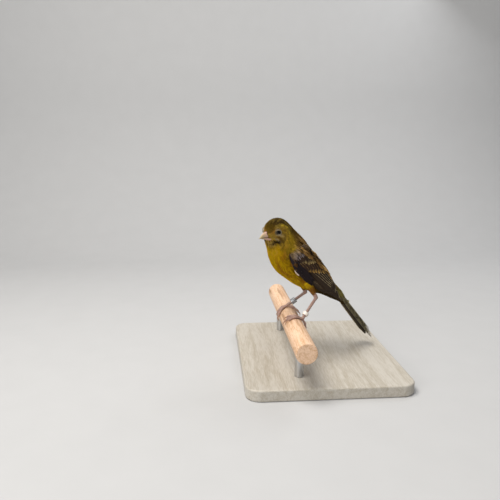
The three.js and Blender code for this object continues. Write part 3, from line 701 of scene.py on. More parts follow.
def feather_width(share, tip=0.16, start=0.45, narrow=0.66):
    """A vane's width along its length: narrow at the quill and rounded off at the tip."""
    quill = start + (1 - start) * smooth(share, 0, 0.45)
    return quill * (1 - (1 - tip) * smooth(share, narrow, 1.0) ** 1.5)


def scatter(step, start, end, seed):
    """Staggered rows of places over the body. The step gives their spacing at a section."""
    dice = np.random.default_rng(seed)
    numbers, angles, odd = [], [], 0
    number = start
    while number < end:
        section = section_at(number)
        girth = np.pi * (np.hypot(section[0] - section[2], section[1] - section[3]) / 2 + section[4])
        spacing = step(number)
        count = max(8, int(girth / spacing))
        angle = (np.arange(count) + 0.5 * odd) * 360 / count
        numbers.append(np.full(count, number))
        angles.append(angle)
        number += spacing * 0.9 / SECTION_LENGTH
        odd = 1 - odd
    numbers, angles = np.concatenate(numbers), np.concatenate(angles)
    spread = step(numbers)
    numbers = numbers + dice.uniform(-0.28, 0.28, len(numbers)) * spread / SECTION_LENGTH
    angles = angles + dice.uniform(-0.35, 0.35, len(angles)) * spread / BODY_RADIUS * RADIAN * 0.6
    return numbers, (angles + 180) % 360 - 180, dice


def wing_edges(number):
    """Lowest and highest angle of the folded wing at a section."""
    share = (number - 6.3) / 8
    low = 94 + 28 * smooth(share, -0.1, 0.25)
    high = 86 - 52 * smooth(share, -0.12, 0.28)
    return low + (96 - low) * smooth(share, 0.55, 1), high + (86 - high) * smooth(share, 0.6, 1)


def wing_rise(number):
    """The folded wing comes out from under the feathers of the breast, from 0 there to 1."""
    return smooth(number, 5.9, 7.6)


def wing_cover(number, degrees):
    """How far the folded wing lifts the body feathers that lap over its edges."""
    low, high = wing_edges(number)
    side = np.abs(degrees)
    inside = smooth(side, high - 6, high + 8) * smooth(side, low - 4, low - 16)
    return WING_COVER * inside * wing_rise(number) * smooth(number, 12.5, 10)


def bare(number, degrees):
    """Places that carry no body feathers: under the folded wings and in the eyes."""
    side = np.abs(degrees)
    low, high = wing_edges(number)
    shoulder = 74 - 27 * smooth(number, 6.8, 9.4)
    lower = low - 4 - 7 * smooth(number, 8.4, 7.2)
    winged = (number > 6.7) & (number < 13.2) & (side > np.maximum(shoulder, high + 6)) & (side < lower)
    points = skin_point(number, degrees)
    eyes = np.zeros(number.shape, bool)
    for centre, out in eye_centres.values():
        # The opening is measured from the axis that the eye looks along.
        away = points - centre
        off = np.linalg.norm(away - (away @ out)[:, None] * out, axis=-1)
        eyes |= (off < EYE_CLEAR) & (away @ out > 0)
    return winged | eyes


def lay_feathers(name, step, start, end, seed, length, width, lift, thick, stations, ring, shine, wild=0.0):
    """Scatters feathers over the body, follows its surface with each, and paints its markings."""
    number, degrees, dice = scatter(step, start, end, seed)
    keep = ~bare(number, degrees)
    number, degrees = number[keep], degrees[keep]
    ahead, out, pace = skin_frame(number, degrees)
    chance = 0.72 * streaks(number, degrees) + 0.28 * dice.uniform(0, 1, len(number))
    long = length(number) * dice.uniform(0.85, 1.15, len(number))
    side = np.abs(degrees)
    front_of_wing = smooth(number, 4.4, 5.4) * smooth(side, 64, 80) * smooth(side, 124, 112)
    reach = np.minimum(long / pace, 1.3) * (1 - 0.35 * front_of_wing)
    swing = dice.normal(0, 1, len(number)) * wild
    share = np.linspace(0, 1, stations)[None, :]
    s = number[:, None] + reach[:, None] * share
    girth = np.maximum(section_at(number)[..., 4], 3.0)
    a = degrees[:, None] + np.degrees(swing[:, None] * long[:, None] / girth[:, None] * share)
    rise = lift(number)[:, None] * (0.15 + 0.85 * smooth(share, 0.0, 0.8))
    rise = rise + dice.uniform(-0.08, 0.12, (len(number), 1))
    near_bill = smooth(s, FACE - 0.1, 0.6)
    rise = rise * smooth(s, 15.0, 13.0)
    centre = over_skin(s, a, (rise - COAT_DEPTH) * near_bill + wing_cover(s, a))
    up = skin_frame(s, a)[1]
    along = unit(np.gradient(centre, axis=1))
    across = unit(np.cross(along, up))
    up = unit(np.cross(across, along))
    half = width(number)[:, None] / 2 * feather_width(share) * dice.uniform(0.85, 1.15, (len(number), 1))
    data, span, lengths, each = vane_mesh(
        name, centre, across, up, half, np.full(half.shape, thick), 0.3, ring)
    root = markings(number, degrees, chance)
    tip = markings(number + 0.9 * reach, degrees, chance)
    mixed = root[:, None] * 0.72 * (1 - share[..., None]) + tip[:, None] * share[..., None] * shine
    paint(data, "plumage", np.repeat(mixed, len(ring) * 2 - 2, axis=1))
    home = np.stack([(degrees % 360) / 360, (number - FACE) / (LAST + 1)], -1)
    bake_patches(data, span, lengths, np.repeat(home, each, axis=0))
    return data


def head_or_body(face, head, body):
    """A size that grows from the face to the head, and down the neck to the body."""
    return lambda number: (face + (head - face) * smooth(np.asarray(number, float), -0.5, 2.2)
                           + (body - head) * smooth(np.asarray(number, float), 2.4, 7.5))


# A feather is dull and soft. Fine barbs run out from its shaft, which shows as a faint line.
contour, tree, shader = new_material("contour_feather", 0.8, Specular_IOR_Level=0.08)
coat_colour = add_node(tree, "ShaderNodeAttribute", attribute_name="plumage")
across_it = add_node(tree, "ShaderNodeAttribute", attribute_name="across")
along_it = add_node(tree, "ShaderNodeAttribute", attribute_name="along")
span_abs = add_node(tree, "ShaderNodeMath", {0: across_it.outputs["Fac"]}, operation="ABSOLUTE")
slant = add_node(tree, "ShaderNodeMath", {
    0: span_abs.outputs[0], 1: -0.5, 2: along_it.outputs["Fac"]}, operation="MULTIPLY_ADD")
barbs = add_node(tree, "ShaderNodeMath", {0: slant.outputs[0], 1: 90.0}, operation="MULTIPLY")
barb_wave = add_node(tree, "ShaderNodeMath", {0: barbs.outputs[0]}, operation="SINE")
place = add_node(tree, "ShaderNodeTexCoord")
patchy = add_node(tree, "ShaderNodeTexNoise", {
    "Vector": place.outputs["Object"], "Scale": 700.0, "Detail": 3.0})
light = add_node(tree, "ShaderNodeMapRange", {"Value": patchy.outputs["Fac"], "To Min": 0.72, "To Max": 1.3})
barred = add_node(tree, "ShaderNodeMath", {
    0: barb_wave.outputs[0], 1: 0.07, 2: light.outputs["Result"]}, operation="MULTIPLY_ADD")
tinted = add_node(tree, "ShaderNodeMix", {0: 1.0, 6: coat_colour.outputs["Color"], 7: barred.outputs[0]},
                  data_type="RGBA", blend_type="MULTIPLY")
tree.links.new(tinted.outputs[2], shader.inputs["Base Color"])
relief = add_node(tree, "ShaderNodeBump", {
    "Height": barb_wave.outputs[0], "Strength": 0.3, "Distance": 0.05 * MM})
tree.links.new(relief.outputs["Normal"], shader.inputs["Normal"])

coat = lay_feathers(
    "coat_vanes", head_or_body(0.8, 1.15, 2.1), FACE + 0.05, LAST + 0.7, 11, head_or_body(1.5, 2.9, 7.5),
    head_or_body(0.9, 1.5, 3.0), head_or_body(0.5, 1.0, 1.2), 0.12, 6, (-1, 0, 1), 1.08)
finish_piece(coat, "coat_vanes", contour)
for word, start, end, seed in (("head", FACE + 0.1, 4.6, 23), ("body", 4.6, LAST + 0.8, 29)):
    loose = lay_feathers(
        f"coat_barbs_{word}", head_or_body(0.5, 0.62, 0.95), start, end, seed, head_or_body(1.2, 2.3, 5.0),
        head_or_body(0.22, 0.26, 0.40), head_or_body(0.6, 1.2, 1.5), 0.10, 5, (-1, 0, 1), 1.15, wild=0.08)
    finish_piece(loose, f"coat_barbs_{word}", contour)


# A folded wing is a short arm under tiers of feathers. Primaries and secondaries lie closed
# under the tertials, and dark coverts with buff edges make two pale bars across the wing.
FLIGHT_DARK = "30241a"
FLIGHT_EDGE = "c8b48a"
TERTIAL_DARK = "3a2a1a"
TERTIAL_EDGE = "8e7846"
COVERT_DARK = "33241a"
COVERT_EDGE = "b8a06a"
BAR_GOLD = "d0a452"
GLOSSY_BLACK = "1b1317"
LILAC_GREY = "8f868a"
BEND_BROWN = "4a3a26"
PALE_EDGE = "e0ccc0"
LESSER_EDGE = "9a8044"
TIERS = [
    # Name and count; roots of the first and last feather, and their tips, as section and degrees;
    # lift at the first and last, width, tilt; ground and edge colours; rim and tip of the edging.
    ("primaries", 9, (8.9, 113), (8.7, 84), (14.3, 103), (12.7, 68), (0.7, 1.6), 4.4, 15,
     FLIGHT_DARK, FLIGHT_EDGE, 0.60, 0.02),
    ("secondaries", 6, (8.6, 88), (8.4, 56), (12.7, 80), (11.8, 47), (1.9, 2.5), 5.0, 14,
     FLIGHT_DARK, FLIGHT_EDGE, 0.28, 0.03),
    ("tertials", 3, (8.3, 60), (8.2, 46), (12.0, 57), (11.2, 42), (2.3, 2.6), 5.6, 10,
     TERTIAL_DARK, TERTIAL_EDGE, 0.28, 0.06),
    ("primary_coverts", 6, (7.4, 108), (7.4, 99), (10.4, 112), (10.0, 96), (2.1, 2.4), 3.2, 14,
     GLOSSY_BLACK, FLIGHT_DARK, 0.08, 0.03),
    ("greater_coverts", 9, (7.5, 98), (7.9, 52), (8.8, 98), (10.1, 50), (2.4, 2.8), 4.0, 13,
     COVERT_DARK, BAR_GOLD, 0.20, 0.22),
    ("alula", 3, (6.9, 105), (6.9, 99), (8.9, 112), (8.5, 104), (2.6, 2.9), 2.8, 12,
     GLOSSY_BLACK, LILAC_GREY, 0.06, 0.02),
    ("median_coverts", 8, (6.8, 95), (7.4, 56), (7.9, 93), (8.8, 54), (2.9, 3.1), 4.4, 12,
     COVERT_DARK, COVERT_EDGE, 0.26, 0.28),
    ("marginal_coverts", 6, (6.5, 103), (6.5, 90), (8.0, 106), (7.8, 91), (2.8, 2.9), 3.0, 12,
     GLOSSY_BLACK, BEND_BROWN, 0.10, 0.10),
    ("lesser_coverts", 8, (6.6, 84), (6.9, 52), (7.6, 82), (8.0, 50), (3.1, 3.2), 3.8, 12,
     COVERT_DARK, LESSER_EDGE, 0.40, 0.30),
    ("grey_coverts", 8, (6.4, 102), (6.5, 72), (7.4, 101), (7.6, 70), (3.0, 3.3), 3.0, 12,
     BEND_BROWN, LILAC_GREY, 0.30, 0.45),
    ("edge_of_wing", 3, (8.15, 115), (8.2, 113), (8.9, 118), (8.8, 117), (1.5, 1.9), 1.3, 8,
     PALE_EDGE, PALE_EDGE, 0.2, 0.1),
]

flight, tree, shader = new_material("flight_feather", 0.6, Specular_IOR_Level=0.15)
ground, edging, across_it, along_it, rim, tipped = (
    add_node(tree, "ShaderNodeAttribute", attribute_name=name)
    for name in ("ground", "edging", "across", "along", "rim", "tipped"))
# The pale edge runs along the outer side of the vane and round its tip.
outer = add_node(tree, "ShaderNodeMath", {0: across_it.outputs["Fac"], 1: 1.0}, operation="ADD")
near = add_node(tree, "ShaderNodeMapRange", {
    "Value": outer.outputs[0], "From Max": rim.outputs["Fac"], "To Min": 1.0, "To Max": 0.0})
near.interpolation_type = "SMOOTHSTEP"
far = add_node(tree, "ShaderNodeMath", {0: 1.0, 1: along_it.outputs["Fac"]}, operation="SUBTRACT")
ending = add_node(tree, "ShaderNodeMapRange", {
    "Value": far.outputs[0], "From Max": tipped.outputs["Fac"], "To Min": 1.0, "To Max": 0.0})
either = add_node(tree, "ShaderNodeMath", {
    0: near.outputs["Result"], 1: ending.outputs["Result"]}, operation="MAXIMUM")
place = add_node(tree, "ShaderNodeTexCoord")
worn = add_node(tree, "ShaderNodeTexNoise", {
    "Vector": place.outputs["Object"], "Scale": 480.0, "Detail": 4.0})
wear = add_node(tree, "ShaderNodeMapRange", {
    "Value": worn.outputs["Fac"], "From Min": 0.35, "From Max": 0.65, "To Min": 0.25, "To Max": 1.2})
amount = add_node(tree, "ShaderNodeMath", {
    0: either.outputs[0], 1: wear.outputs["Result"]}, operation="MULTIPLY", use_clamp=True)
mixed = add_node(tree, "ShaderNodeMix", {
    0: amount.outputs[0], 6: ground.outputs["Color"], 7: edging.outputs["Color"]}, data_type="RGBA")
# The shaft is a thin dark line, and the barbs slant out from it.
side_of_shaft = add_node(tree, "ShaderNodeMath", {0: across_it.outputs["Fac"], 1: 0.62}, operation="ADD")
shaft_off = add_node(tree, "ShaderNodeMath", {0: side_of_shaft.outputs[0]}, operation="ABSOLUTE")
shaft = add_node(tree, "ShaderNodeMapRange", {
    "Value": shaft_off.outputs[0], "From Max": 0.06, "To Min": 0.5, "To Max": 1.0})
slant = add_node(tree, "ShaderNodeMath", {
    0: shaft_off.outputs[0], 1: -0.22, 2: along_it.outputs["Fac"]}, operation="MULTIPLY_ADD")
barbs = add_node(tree, "ShaderNodeMath", {0: slant.outputs[0], 1: 260.0}, operation="MULTIPLY")
barb_wave = add_node(tree, "ShaderNodeMath", {0: barbs.outputs[0]}, operation="SINE")
barred = add_node(tree, "ShaderNodeMath", {
    0: barb_wave.outputs[0], 1: 0.1, 2: shaft.outputs["Result"]}, operation="MULTIPLY_ADD")
tinted = add_node(tree, "ShaderNodeMix", {
    0: 1.0, 6: mixed.outputs[2], 7: barred.outputs[0]}, data_type="RGBA", blend_type="MULTIPLY")
tree.links.new(tinted.outputs[2], shader.inputs["Base Color"])
relief = add_node(tree, "ShaderNodeBump", {
    "Height": barred.outputs[0], "Strength": 0.35, "Distance": 0.05 * MM})
tree.links.new(relief.outputs["Normal"], shader.inputs["Normal"])


def flight_mesh(name, centre, across, up, half, thick, tones, edges, rims, tips, curl=0.2):
    """Many large feathers as one mesh, each with its own two strips of the bake's map."""
    ring = (-1, -0.8, -0.45, 0.1, 1)
    data, span, length, each = vane_mesh(name, centre, across, up, half, thick, curl, ring)
    feathers = len(half)
    paint(data, "ground", np.repeat(tones, each, axis=0))
    paint(data, "edging", np.repeat(edges, each, axis=0))
    store(data, "rim", np.repeat(rims, each))
    store(data, "tipped", np.repeat(tips, each))
    verts = corner_verts(data)
    starts = np.empty(len(data.polygons), np.int32)
    totals = np.empty(len(data.polygons), np.int32)
    data.polygons.foreach_get("loop_start", starts)
    data.polygons.foreach_get("loop_total", totals)
    face = np.repeat(np.arange(len(starts)), totals)
    count = len(ring) * 2 - 2
    quads = feathers * (half.shape[1] - 1) * count
    under = (face % count >= len(ring) - 1) & (face < quads)
    column = (verts // each + 0.04 + 0.44 * (span[verts] + 1) / 2 + 0.5 * under) / feathers
    store_map(data, np.stack([column, 0.01 + 0.98 * length[verts]], -1))
    return data


def tone(hex_colour, chance):
    """A colour for each feather, a little lighter or darker by chance."""
    return np.array(linear(hex_colour)[:3])[None, :] * (0.8 + 0.4 * chance[:, None])


def between(first, last, share):
    """A value that runs from the first to the last by a share."""
    return first + (last - first) * share


def sink_front(height, section):
    """Lets a height over the body sink under the coat where the wing comes out of the breast."""
    return height * wing_rise(section) - SUNK * (1 - wing_rise(section))


STATIONS = 13
SUNK = 1.2
VANE_THICK = 0.22
for word, side in (("left", 1), ("right", -1)):
    dice = np.random.default_rng(31 if side > 0 else 37)
    gathered = []
    for label, count, r0, r1, t0, t1, lift, wide, tilt, dark, pale, rim_width, tip_length in TIERS:
        order = np.linspace(0, 1, count)[:, None]
        share = np.linspace(0, 1, STATIONS)[None, :]
        jitter = dice.normal(0, 0.5, (count, 1))
        section = (between(r0[0], r1[0], order) * (1 - share)
                   + (between(t0[0], t1[0], order) + 0.12 * jitter) * share)
        angle = (between(r0[1], r1[1], order) * (1 - share)
                 + (between(t0[1], t1[1], order) + 0.6 * jitter) * share)
        height = sink_front(between(lift[0], lift[1], order) - 0.25 * share, section)
        centre = over_skin(section, side * angle, height)
        out = skin_frame(section, side * angle)[1]
        along = unit(np.gradient(centre, axis=1))
        across = unit(np.cross(out, along)) * -side
        up = unit(np.cross(along, across)) * -side
        lean = math.radians(tilt)
        tilted = across * math.cos(lean) - up * math.sin(lean)
        raised = up * math.cos(lean) + across * math.sin(lean)
        half = wide / 2 * feather_width(share) * np.ones((count, 1))
        chance = dice.uniform(0, 1, count)
        gathered.append((centre, tilted, raised, half, tone(dark, chance), tone(pale, chance),
                         np.full(count, rim_width), tip_length * smooth(order[:, 0], -0.15, 0.35)))
    joined = [np.concatenate(part) for part in zip(*gathered)]
    centre, tilted, raised, half, tones, edges, rims, tips = joined
    data = flight_mesh(f"wing_feathers_{word}", centre, tilted, raised, half,
                       np.full(half.shape, VANE_THICK), tones, edges, rims, tips)
    finish_piece(data, f"wing_feathers_{word}", flight, [f"wing_{word}"])

    def arm(u, v, side=side):
        """The fleshy arm of the wing under its coverts, thin at its edges."""
        section = 6.5 + 3.6 * v
        low = 94 + (119 - 94) * smooth(v, -0.2, 0.6)
        high = 86 + (36 - 86) * smooth(v, -0.2, 0.6)
        turn = 2 * np.pi * u
        middle = (low + high) / 2 + (low - high) / 2 * np.cos(turn) * 0.9
        round_off = np.sqrt(np.clip(1 - (2 * v - 1) ** 4, 0.02, 1))
        return over_skin(section, side * middle, sink_front(0.9 + 0.7 * np.sin(turn) * round_off, section))

    form, data, shares = wrap_grid(f"arm_{word}", 32, 16, arm)
    paint_and_close(form, data, plain(COVERT_DARK, len(shares)))
    finish_piece(data, f"arm_{word}", down)


# The closed tail is six pairs of feathers. The middle pair lies on top, each next one under
# it and a little longer, so the tail is forked and slopes down to both sides.
TAIL_ROOT = np.array([35.4, 0, 17.0])
TAIL_TIP = np.array([69.0, 0, -23.8])
TAIL_HALF = 6.6
TAIL_SPLAY = 0.5
TAIL_MIDDLE = 1.8
TAIL_FORK = 6.0
TAIL_PAIRS = 6
TAIL_WIDTH = 5.0
TAIL_STEP = 0.72
TAIL_STATIONS = 17
TAIL_THICK = 0.26
TAIL_DARK = "342b20"
TAIL_EDGE = "c8bc94"

along = unit(TAIL_TIP - TAIL_ROOT)
straight_up = np.array([-along[2], 0, along[0]])
gathered = []
dice = np.random.default_rng(41)
for side in (1, -1):
    for pair in range(TAIL_PAIRS):
        order = pair / (TAIL_PAIRS - 1)
        reach = 1 - TAIL_FORK / np.linalg.norm(TAIL_TIP - TAIL_ROOT) * (1 - smooth(order, 0, 0.8))
        off = TAIL_MIDDLE + (TAIL_HALF - TAIL_WIDTH / 2 - TAIL_MIDDLE) * order
        share = np.linspace(0.08, 1, TAIL_STATIONS)[:, None]
        sideways = np.array([0, -side, 0.0])
        centre = (TAIL_ROOT + (TAIL_TIP - TAIL_ROOT) * share * reach
                  + sideways * off * (TAIL_SPLAY + (1 - TAIL_SPLAY) * share)
                  - straight_up * pair * TAIL_STEP * (0.8 + 0.2 * share))
        lean = math.radians(10)
        across = unit(-sideways * math.cos(lean) + straight_up * math.sin(lean))
        up = unit(np.cross(along, across)) * side
        up = up if up @ straight_up > 0 else -up
        half = TAIL_WIDTH / 2 * feather_width(share[:, 0], tip=0.3, start=0.5, narrow=0.84)
        across, up = (np.tile(direction, (TAIL_STATIONS, 1)) for direction in (across, up))
        gathered.append((centre, across, up, half, dice.uniform(0, 1)))
centre, across, up, half = (np.stack([g[i] for g in gathered]) for i in range(4))
chance = np.array([g[4] for g in gathered])
data = flight_mesh("tail_feathers", centre, across, up, half, np.full(half.shape, TAIL_THICK),
                   tone(TAIL_DARK, chance), tone(TAIL_EDGE, chance),
                   np.full(len(half), 0.42), np.full(len(half), 0.01))
finish_piece(data, "tail_feathers", flight, ["tail"])


# Legs are bare below the heel: a slender shank with a row of plates down its front, and four
# scaled toes, three forward and one back, each ending in a thin curved claw.
FEET = {
    "left": dict(side=1, hip=(8.5, 5.6, 25), heel=(14.8, 9.6, 12.2), pad=(42, 13), band=(0.78, 2.6),
                 toes=[(-1, 104, -5.2), (-1, 124, 0.2), (-1, 104, 5.0), (1, 76, 0.6)]),
    "right": dict(side=-1, hip=(8.5, 5.6, 25), heel=(15.6, 9.0, 11.4), pad=(-6, -13), band=(0.66, 3.8),
                  toes=[(-1, 96, -5.0), (-1, 116, -0.4), (-1, 96, 5.2), (1, 86, 5.5)]),
}
SHANK_RADIUS = 1.0
HEEL_RADIUS = 1.35
PAD_RADIUS = 1.3
GAP = 0.3
SKIN_PINK = "a88b80"
SKIN_SEAM = "7e6054"
CLAW_HORN = "7d5c48"
CLAW_PALE = "b8937c"


def round_perch(degrees, along_it, radius):
    """A place round the dowel in the bird's frame: from its top towards the tail, and along it."""
    angle = np.radians(degrees)
    x, y, z = radius * np.sin(angle), -along_it + 0 * angle, radius * np.cos(angle) - PERCH_RADIUS
    c, s = math.cos(-BIRD_TURN), math.sin(-BIRD_TURN)
    return np.stack([c * x - s * y, s * x + c * y, z], -1)


def leg_points(foot):
    """The hip, the heel and the middle of the pad on the dowel, in the bird's frame."""
    hip, heel = (np.array([x, -foot["side"] * y, z]) for x, y, z in (foot["hip"], foot["heel"]))
    around, along_it = foot["pad"]
    return hip, heel, round_perch(np.float64(around), along_it, PERCH_RADIUS + GAP + PAD_RADIUS)


def limb_surface(path, radii, scales, depth):
    """A function that wraps a grid round a limb, with plates raised along its front."""
    path = np.asarray(path, float)
    radii = np.asarray(radii, float)
    knots = np.concatenate([[0], np.cumsum(np.linalg.norm(np.diff(path, axis=0), axis=1))])
    knots /= knots[-1]

    def surface(u, v):
        centre, before, after = (
            np.stack([np.interp(at, knots, path[:, k]) for k in range(3)], -1)
            for at in (v, np.clip(v - 0.03, 0, 1), np.clip(v + 0.03, 0, 1)))
        ahead = unit(after - before)
        side = unit(np.cross(ahead, np.cross(np.array([0.0, 1, 0]), ahead)))
        front = np.cross(ahead, side)
        radius = np.interp(v, knots, radii)
        tooth = (v * scales) % 1.0
        plate = depth * (1 - tooth) * smooth(np.cos(2 * np.pi * (u - 0.25)), -0.3, 0.5)
        radius = radius + plate * (radius > 0.3)
        angle = 2 * np.pi * u
        return centre + side * (radius * np.cos(angle))[:, None] + front * (radius * np.sin(angle))[:, None]

    return surface


leg_skin, tree, shader = new_material("scaled_leg_skin", 0.5, Subsurface_Weight=0.12, Subsurface_Scale=0.0005)
place = add_node(tree, "ShaderNodeTexCoord")
plates = add_node(tree, "ShaderNodeTexVoronoi", {
    "Vector": place.outputs["Object"], "Scale": 1500.0}, feature="DISTANCE_TO_EDGE")
seam = add_node(tree, "ShaderNodeMapRange", {"Value": plates.outputs["Distance"], "From Max": 0.12})
flush = add_node(tree, "ShaderNodeTexNoise", {
    "Vector": place.outputs["Object"], "Scale": 260.0, "Detail": 3.0})
seamed = add_node(tree, "ShaderNodeMix", {
    0: seam.outputs["Result"], 6: linear(SKIN_SEAM), 7: linear(SKIN_PINK)}, data_type="RGBA")
glow = add_node(tree, "ShaderNodeMapRange", {"Value": flush.outputs["Fac"], "To Min": 0.8, "To Max": 1.15})
tinted = add_node(tree, "ShaderNodeMix", {
    0: 1.0, 6: seamed.outputs[2], 7: glow.outputs["Result"]}, data_type="RGBA", blend_type="MULTIPLY")
tree.links.new(tinted.outputs[2], shader.inputs["Base Color"])
relief = add_node(tree, "ShaderNodeBump", {
    "Height": seam.outputs["Result"], "Strength": 0.6, "Distance": 0.06 * MM})
tree.links.new(relief.outputs["Normal"], shader.inputs["Normal"])


def speckled(name, roughness, scale, detail, first, second, **fixed):
    """A plain material whose colour wanders between two tints, in specks of some fineness."""
    material, tree, shader = new_material(name, roughness, **fixed)
    place = add_node(tree, "ShaderNodeTexCoord")
    specks = add_node(tree, "ShaderNodeTexNoise", {
        "Vector": place.outputs["Object"], "Scale": scale, "Detail": detail})
    tint = add_node(tree, "ShaderNodeMix", {
        0: specks.outputs["Fac"], 6: linear(first), 7: linear(second)}, data_type="RGBA")
    tree.links.new(tint.outputs[2], shader.inputs["Base Color"])
    return material


def add_limb(target, surface, columns, rows):
    """Adds a closed limb to a form that gathers several."""
    shape, data, _ = wrap_grid("limb", columns, rows, surface)
    close_form(shape, data)
    target.from_mesh(data)
    bpy.data.meshes.remove(data)


# Claws look like smooth brown horn with paler streaks.
claw_horn = speckled("claw_horn", 0.35, 1200.0, 2.0, CLAW_HORN, CLAW_PALE)

for word, foot in FEET.items():
    hip, heel, pad = leg_points(foot)
    down_leg = pad - heel
    leg_form = bmesh.new()
    leg_form.loops.layers.uv.new("OFBake")
    claws = bmesh.new()
    claws.loops.layers.uv.new("OFBake")

    path = [heel + (hip - heel) * 0.25, heel + (hip - heel) * 0.04, heel, heel + down_leg * 0.12,
            heel + down_leg * 0.85, pad, pad + down_leg * 0.03]
    radii = [1.5, 1.35, HEEL_RADIUS, 1.02, SHANK_RADIUS - 0.05, PAD_RADIUS, 0.35]
    add_limb(leg_form, limb_surface(path, radii, 13, 0.13), 24, 120)
    around, beside = foot["pad"]
    for turn, sweep, drift in foot["toes"]:
        share = np.linspace(0, 0.74, 16)
        radius = 0.85 + (0.6 - 0.85) * share + 0.09 * np.cos(share * 6 * np.pi)
        radius[-1] *= 0.6
        path = round_perch(around + turn * sweep * share, beside + drift * share, PERCH_RADIUS + GAP + radius)
        add_limb(leg_form, limb_surface(path, radius, 16, 0.07), 16, 90)
        share = np.linspace(0.70, 1.0, 12)
        fade = np.linspace(0, 1, 12)
        radius = 0.5 * (1 - fade) ** 0.7 + 0.05
        lift = 0.75 * np.sin(np.pi * fade)
        path = round_perch(
            around + turn * sweep * share, beside + drift * share, PERCH_RADIUS + GAP + 0.35 + lift)
        add_limb(claws, limb_surface(path, radius, 1, 0.0), 12, 24)
    for name, form, material, replaced in (
            (f"foot_{word}", leg_form, leg_skin, [f"leg_{word}"]), (f"claws_{word}", claws, claw_horn, ())):
        data = bpy.data.meshes.new(name)
        form.to_mesh(data)
        form.free()
        finish_piece(data, name, material, replaced)

    # Short orange-brown feathers sheathe the thigh down to the heel.
    knee, cuff = heel + (hip - heel) * 0.45, heel + (hip - heel) * 0.12
    thigh = limb_surface([hip, knee, cuff], [3.4, 1.9, 1.05], 1, 0.0)
    form, data, shares = wrap_grid(f"thigh_{word}", 24, 20, thigh)
    paint_and_close(form, data, plain(THIGH, len(shares), 0.6))
    finish_piece(data, f"thigh_{word}", down)
    dice = np.random.default_rng(53 + foot["side"])
    rows, columns = np.linspace(0.0, 0.98, 16), np.linspace(0, 1, 34, endpoint=False)
    v, u = (grid.ravel() for grid in np.meshgrid(rows, columns, indexing="ij"))
    u = u + dice.uniform(-0.02, 0.02, u.shape)
    share = np.linspace(0, 1, 5)
    long = (0.26 - 0.14 * v) * dice.uniform(0.8, 1.2, u.shape)
    stations_v = v[:, None] + long[:, None] * share
    on_thigh = np.clip(stations_v, 0, 1)
    skin_at = thigh(np.repeat(u, len(share)), on_thigh.ravel()).reshape(len(u), len(share), 3)
    beyond = np.clip(stations_v - 1, 0, 1)[..., None] * (heel - hip)
    bone = [np.interp(on_thigh, [0, 0.6, 1], [hip[k], knee[k], cuff[k]]) for k in range(3)]
    out = unit(skin_at - np.stack(bone, -1))
    centre = skin_at + beyond + out * ((0.1 + 0.5 * share) * (1 - 0.7 * v[:, None]))[..., None]
    ahead = unit(np.gradient(centre, axis=1))
    across = unit(np.cross(ahead, out))
    out = unit(np.cross(across, ahead))
    half = feather_width(share)[None, :] * (0.8 - 0.45 * v[:, None])
    data, span, lengths, each = vane_mesh(
        f"thigh_feathers_{word}", centre, across, out, half, np.full(half.shape, 0.12), 0.25)
    colour = np.array(linear(THIGH)[:3])[None, :] * dice.uniform(0.7, 1.3, (len(u), 1))
    golden = np.array(linear(BELLY)[:3])[None, :]
    blend = smooth(0.45 - v, 0, 0.35)[:, None]
    paint(data, "plumage", np.repeat(colour * (1 - blend) + golden * blend, each, axis=0))
    bake_patches(data, span, lengths, np.repeat(np.stack([u % 1, v], -1), each, axis=0))
    finish_piece(data, f"thigh_feathers_{word}", contour)


# Each leg wears a closed band: white plastic on the left leg, and grey anodised aluminium on
# the right. Both are plain, with rounded rims, and lie loose on the shank.
BAND_INNER = 1.42
BAND_OUTER = 2.12
BAND_EASE = 0.16
BAND_WHITE = "f2ede6"
BAND_SCUFF = "ddd3ca"
BAND_GREY = "8f9196"
BAND_WORN = "b4b6ba"

# The white band looks like slightly scuffed plastic, and the grey one like dull worn metal.
white_plastic = speckled("white_plastic", 0.4, 900.0, 4.0, BAND_WHITE, BAND_SCUFF)
anodised = speckled("grey_anodised_aluminium", 0.35, 1100.0, 4.0, BAND_GREY, BAND_WORN, Metallic=0.9)
for word, material, slot in (("left", white_plastic, "white_band"), ("right", anodised, "grey_band")):
    foot = FEET[word]
    heel, pad = leg_points(foot)[1:]
    at, height = foot["band"]
    wall = bmesh.new()
    low, high = -height / 2, height / 2
    corners = [wall.verts.new((r * MM, 0, z * MM)) for r, z in (
        (BAND_INNER, low), (BAND_OUTER, low), (BAND_OUTER, high), (BAND_INNER, high))]
    wall.faces.new(corners)
    bmesh.ops.bevel(wall, geom=wall.verts[:], offset=BAND_EASE * MM, affect="VERTICES", segments=4,
                    profile=0.5, material=-1)
    outline = wall.edges[:]
    bmesh.ops.delete(wall, geom=wall.faces[:], context="FACES_ONLY")
    bmesh.ops.spin(wall, geom=wall.verts[:] + outline, cent=(0, 0, 0), axis=(0, 0, 1),
                   angle=2 * math.pi, steps=64, use_merge=True)
    set_upright(wall, heel, pad, heel + (pad - heel) * at)
    name = f"leg_band_{word}"
    finish_piece(mesh_from(wall, name), name, material, [f"band_{word}"])


# A plain pale floor that rises behind as a wall, soft light from above, and the camera where
# the photographer stood, a little above the bird and in front of it.
PAPER = "bbbcbe"
PAPER_SHADE = "b6b7b9"
STUDIO_GREY = "dcdcdc"

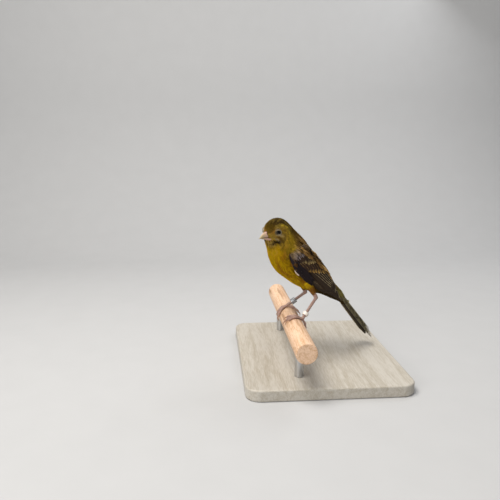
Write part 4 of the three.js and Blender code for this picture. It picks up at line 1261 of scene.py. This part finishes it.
paper = speckled("pale_paper", 0.9, 40.0, 4.0, PAPER, PAPER_SHADE)
sweep = bmesh.new()
profile = [(-1.2, 0.0), (0.35, 0.0)] + [
    (0.35 + 0.25 * math.sin(a), 0.25 - 0.25 * math.cos(a))
    for a in np.linspace(0.15, math.pi / 2, 10)] + [(0.6, 1.6)]
rail = [sweep.verts.new((-1.6, y, z)) for y, z in profile]
spine = [sweep.edges.new(pair) for pair in zip(rail, rail[1:])]
made = bmesh.ops.extrude_edge_only(sweep, edges=spine)
far_side = [v for v in made["geom"] if isinstance(v, bmesh.types.BMVert)]
bmesh.ops.translate(sweep, verts=far_side, vec=(3.2, 0, 0))
bmesh.ops.recalc_face_normals(sweep, faces=sweep.faces)
if sweep.faces[0].normal.z < 0:
    bmesh.ops.reverse_faces(sweep, faces=sweep.faces)
data = bpy.data.meshes.new("floor")
sweep.to_mesh(data)
sweep.free()
data.materials.append(paper)
data.shade_smooth()
floor = bpy.data.objects.new("floor", data)
bpy.context.scene.collection.objects.link(floor)


def area_light(name, place, target, size, watts, colour):
    """A square lamp that faces a target."""
    lamp = bpy.data.lights.new(name, "AREA")
    lamp.size = size
    lamp.energy = watts
    lamp.color = linear(colour)[:3]
    thing = bpy.data.objects.new(name, lamp)
    thing.location = place
    thing.rotation_euler = (Vector(target) - Vector(place)).to_track_quat("-Z", "Y").to_euler()
    bpy.context.scene.collection.objects.link(thing)


area_light("overhead", (-0.25, -0.15, 0.75), (0.0, 0, 0.08), 0.45, 6.8, "fffaf2")
area_light("front_fill", (-0.65, -0.7, 0.3), (0.0, 0, 0.08), 0.5, 3.8, "fffdf8")
area_light("back_rim", (0.35, 0.35, 0.6), (0.0, 0, 0.08), 0.4, 1.5, "ffffff")
world = bpy.data.worlds.new("studio")
world.use_nodes = True
world.node_tree.nodes["Background"].inputs["Color"].default_value = linear(STUDIO_GREY)
world.node_tree.nodes["Background"].inputs["Strength"].default_value = 0.36
bpy.context.scene.world = world
bpy.context.scene.view_settings.view_transform = "Standard"

CAMERA_PLACE = (-77.4, -366.0, 156.27)
CAMERA_RIGHT = Vector((0.99686, -0.07916, 0.00038))
CAMERA_UP = Vector((0.01460, 0.18856, 0.98195))
FOCAL_PIXELS = 516.4
PHOTO_PIXELS = 500
SENSOR = 36
lens = bpy.data.cameras.new("camera")
lens.sensor_width = SENSOR
lens.lens = SENSOR * FOCAL_PIXELS / PHOTO_PIXELS
camera = bpy.data.objects.new("camera", lens)
facing = Matrix((CAMERA_RIGHT, CAMERA_UP, CAMERA_RIGHT.cross(CAMERA_UP))).transposed()
camera.matrix_world = Matrix.Translation(Vector(CAMERA_PLACE) * MM) @ facing.to_4x4()
bpy.context.scene.collection.objects.link(camera)
bpy.context.scene.camera = camera
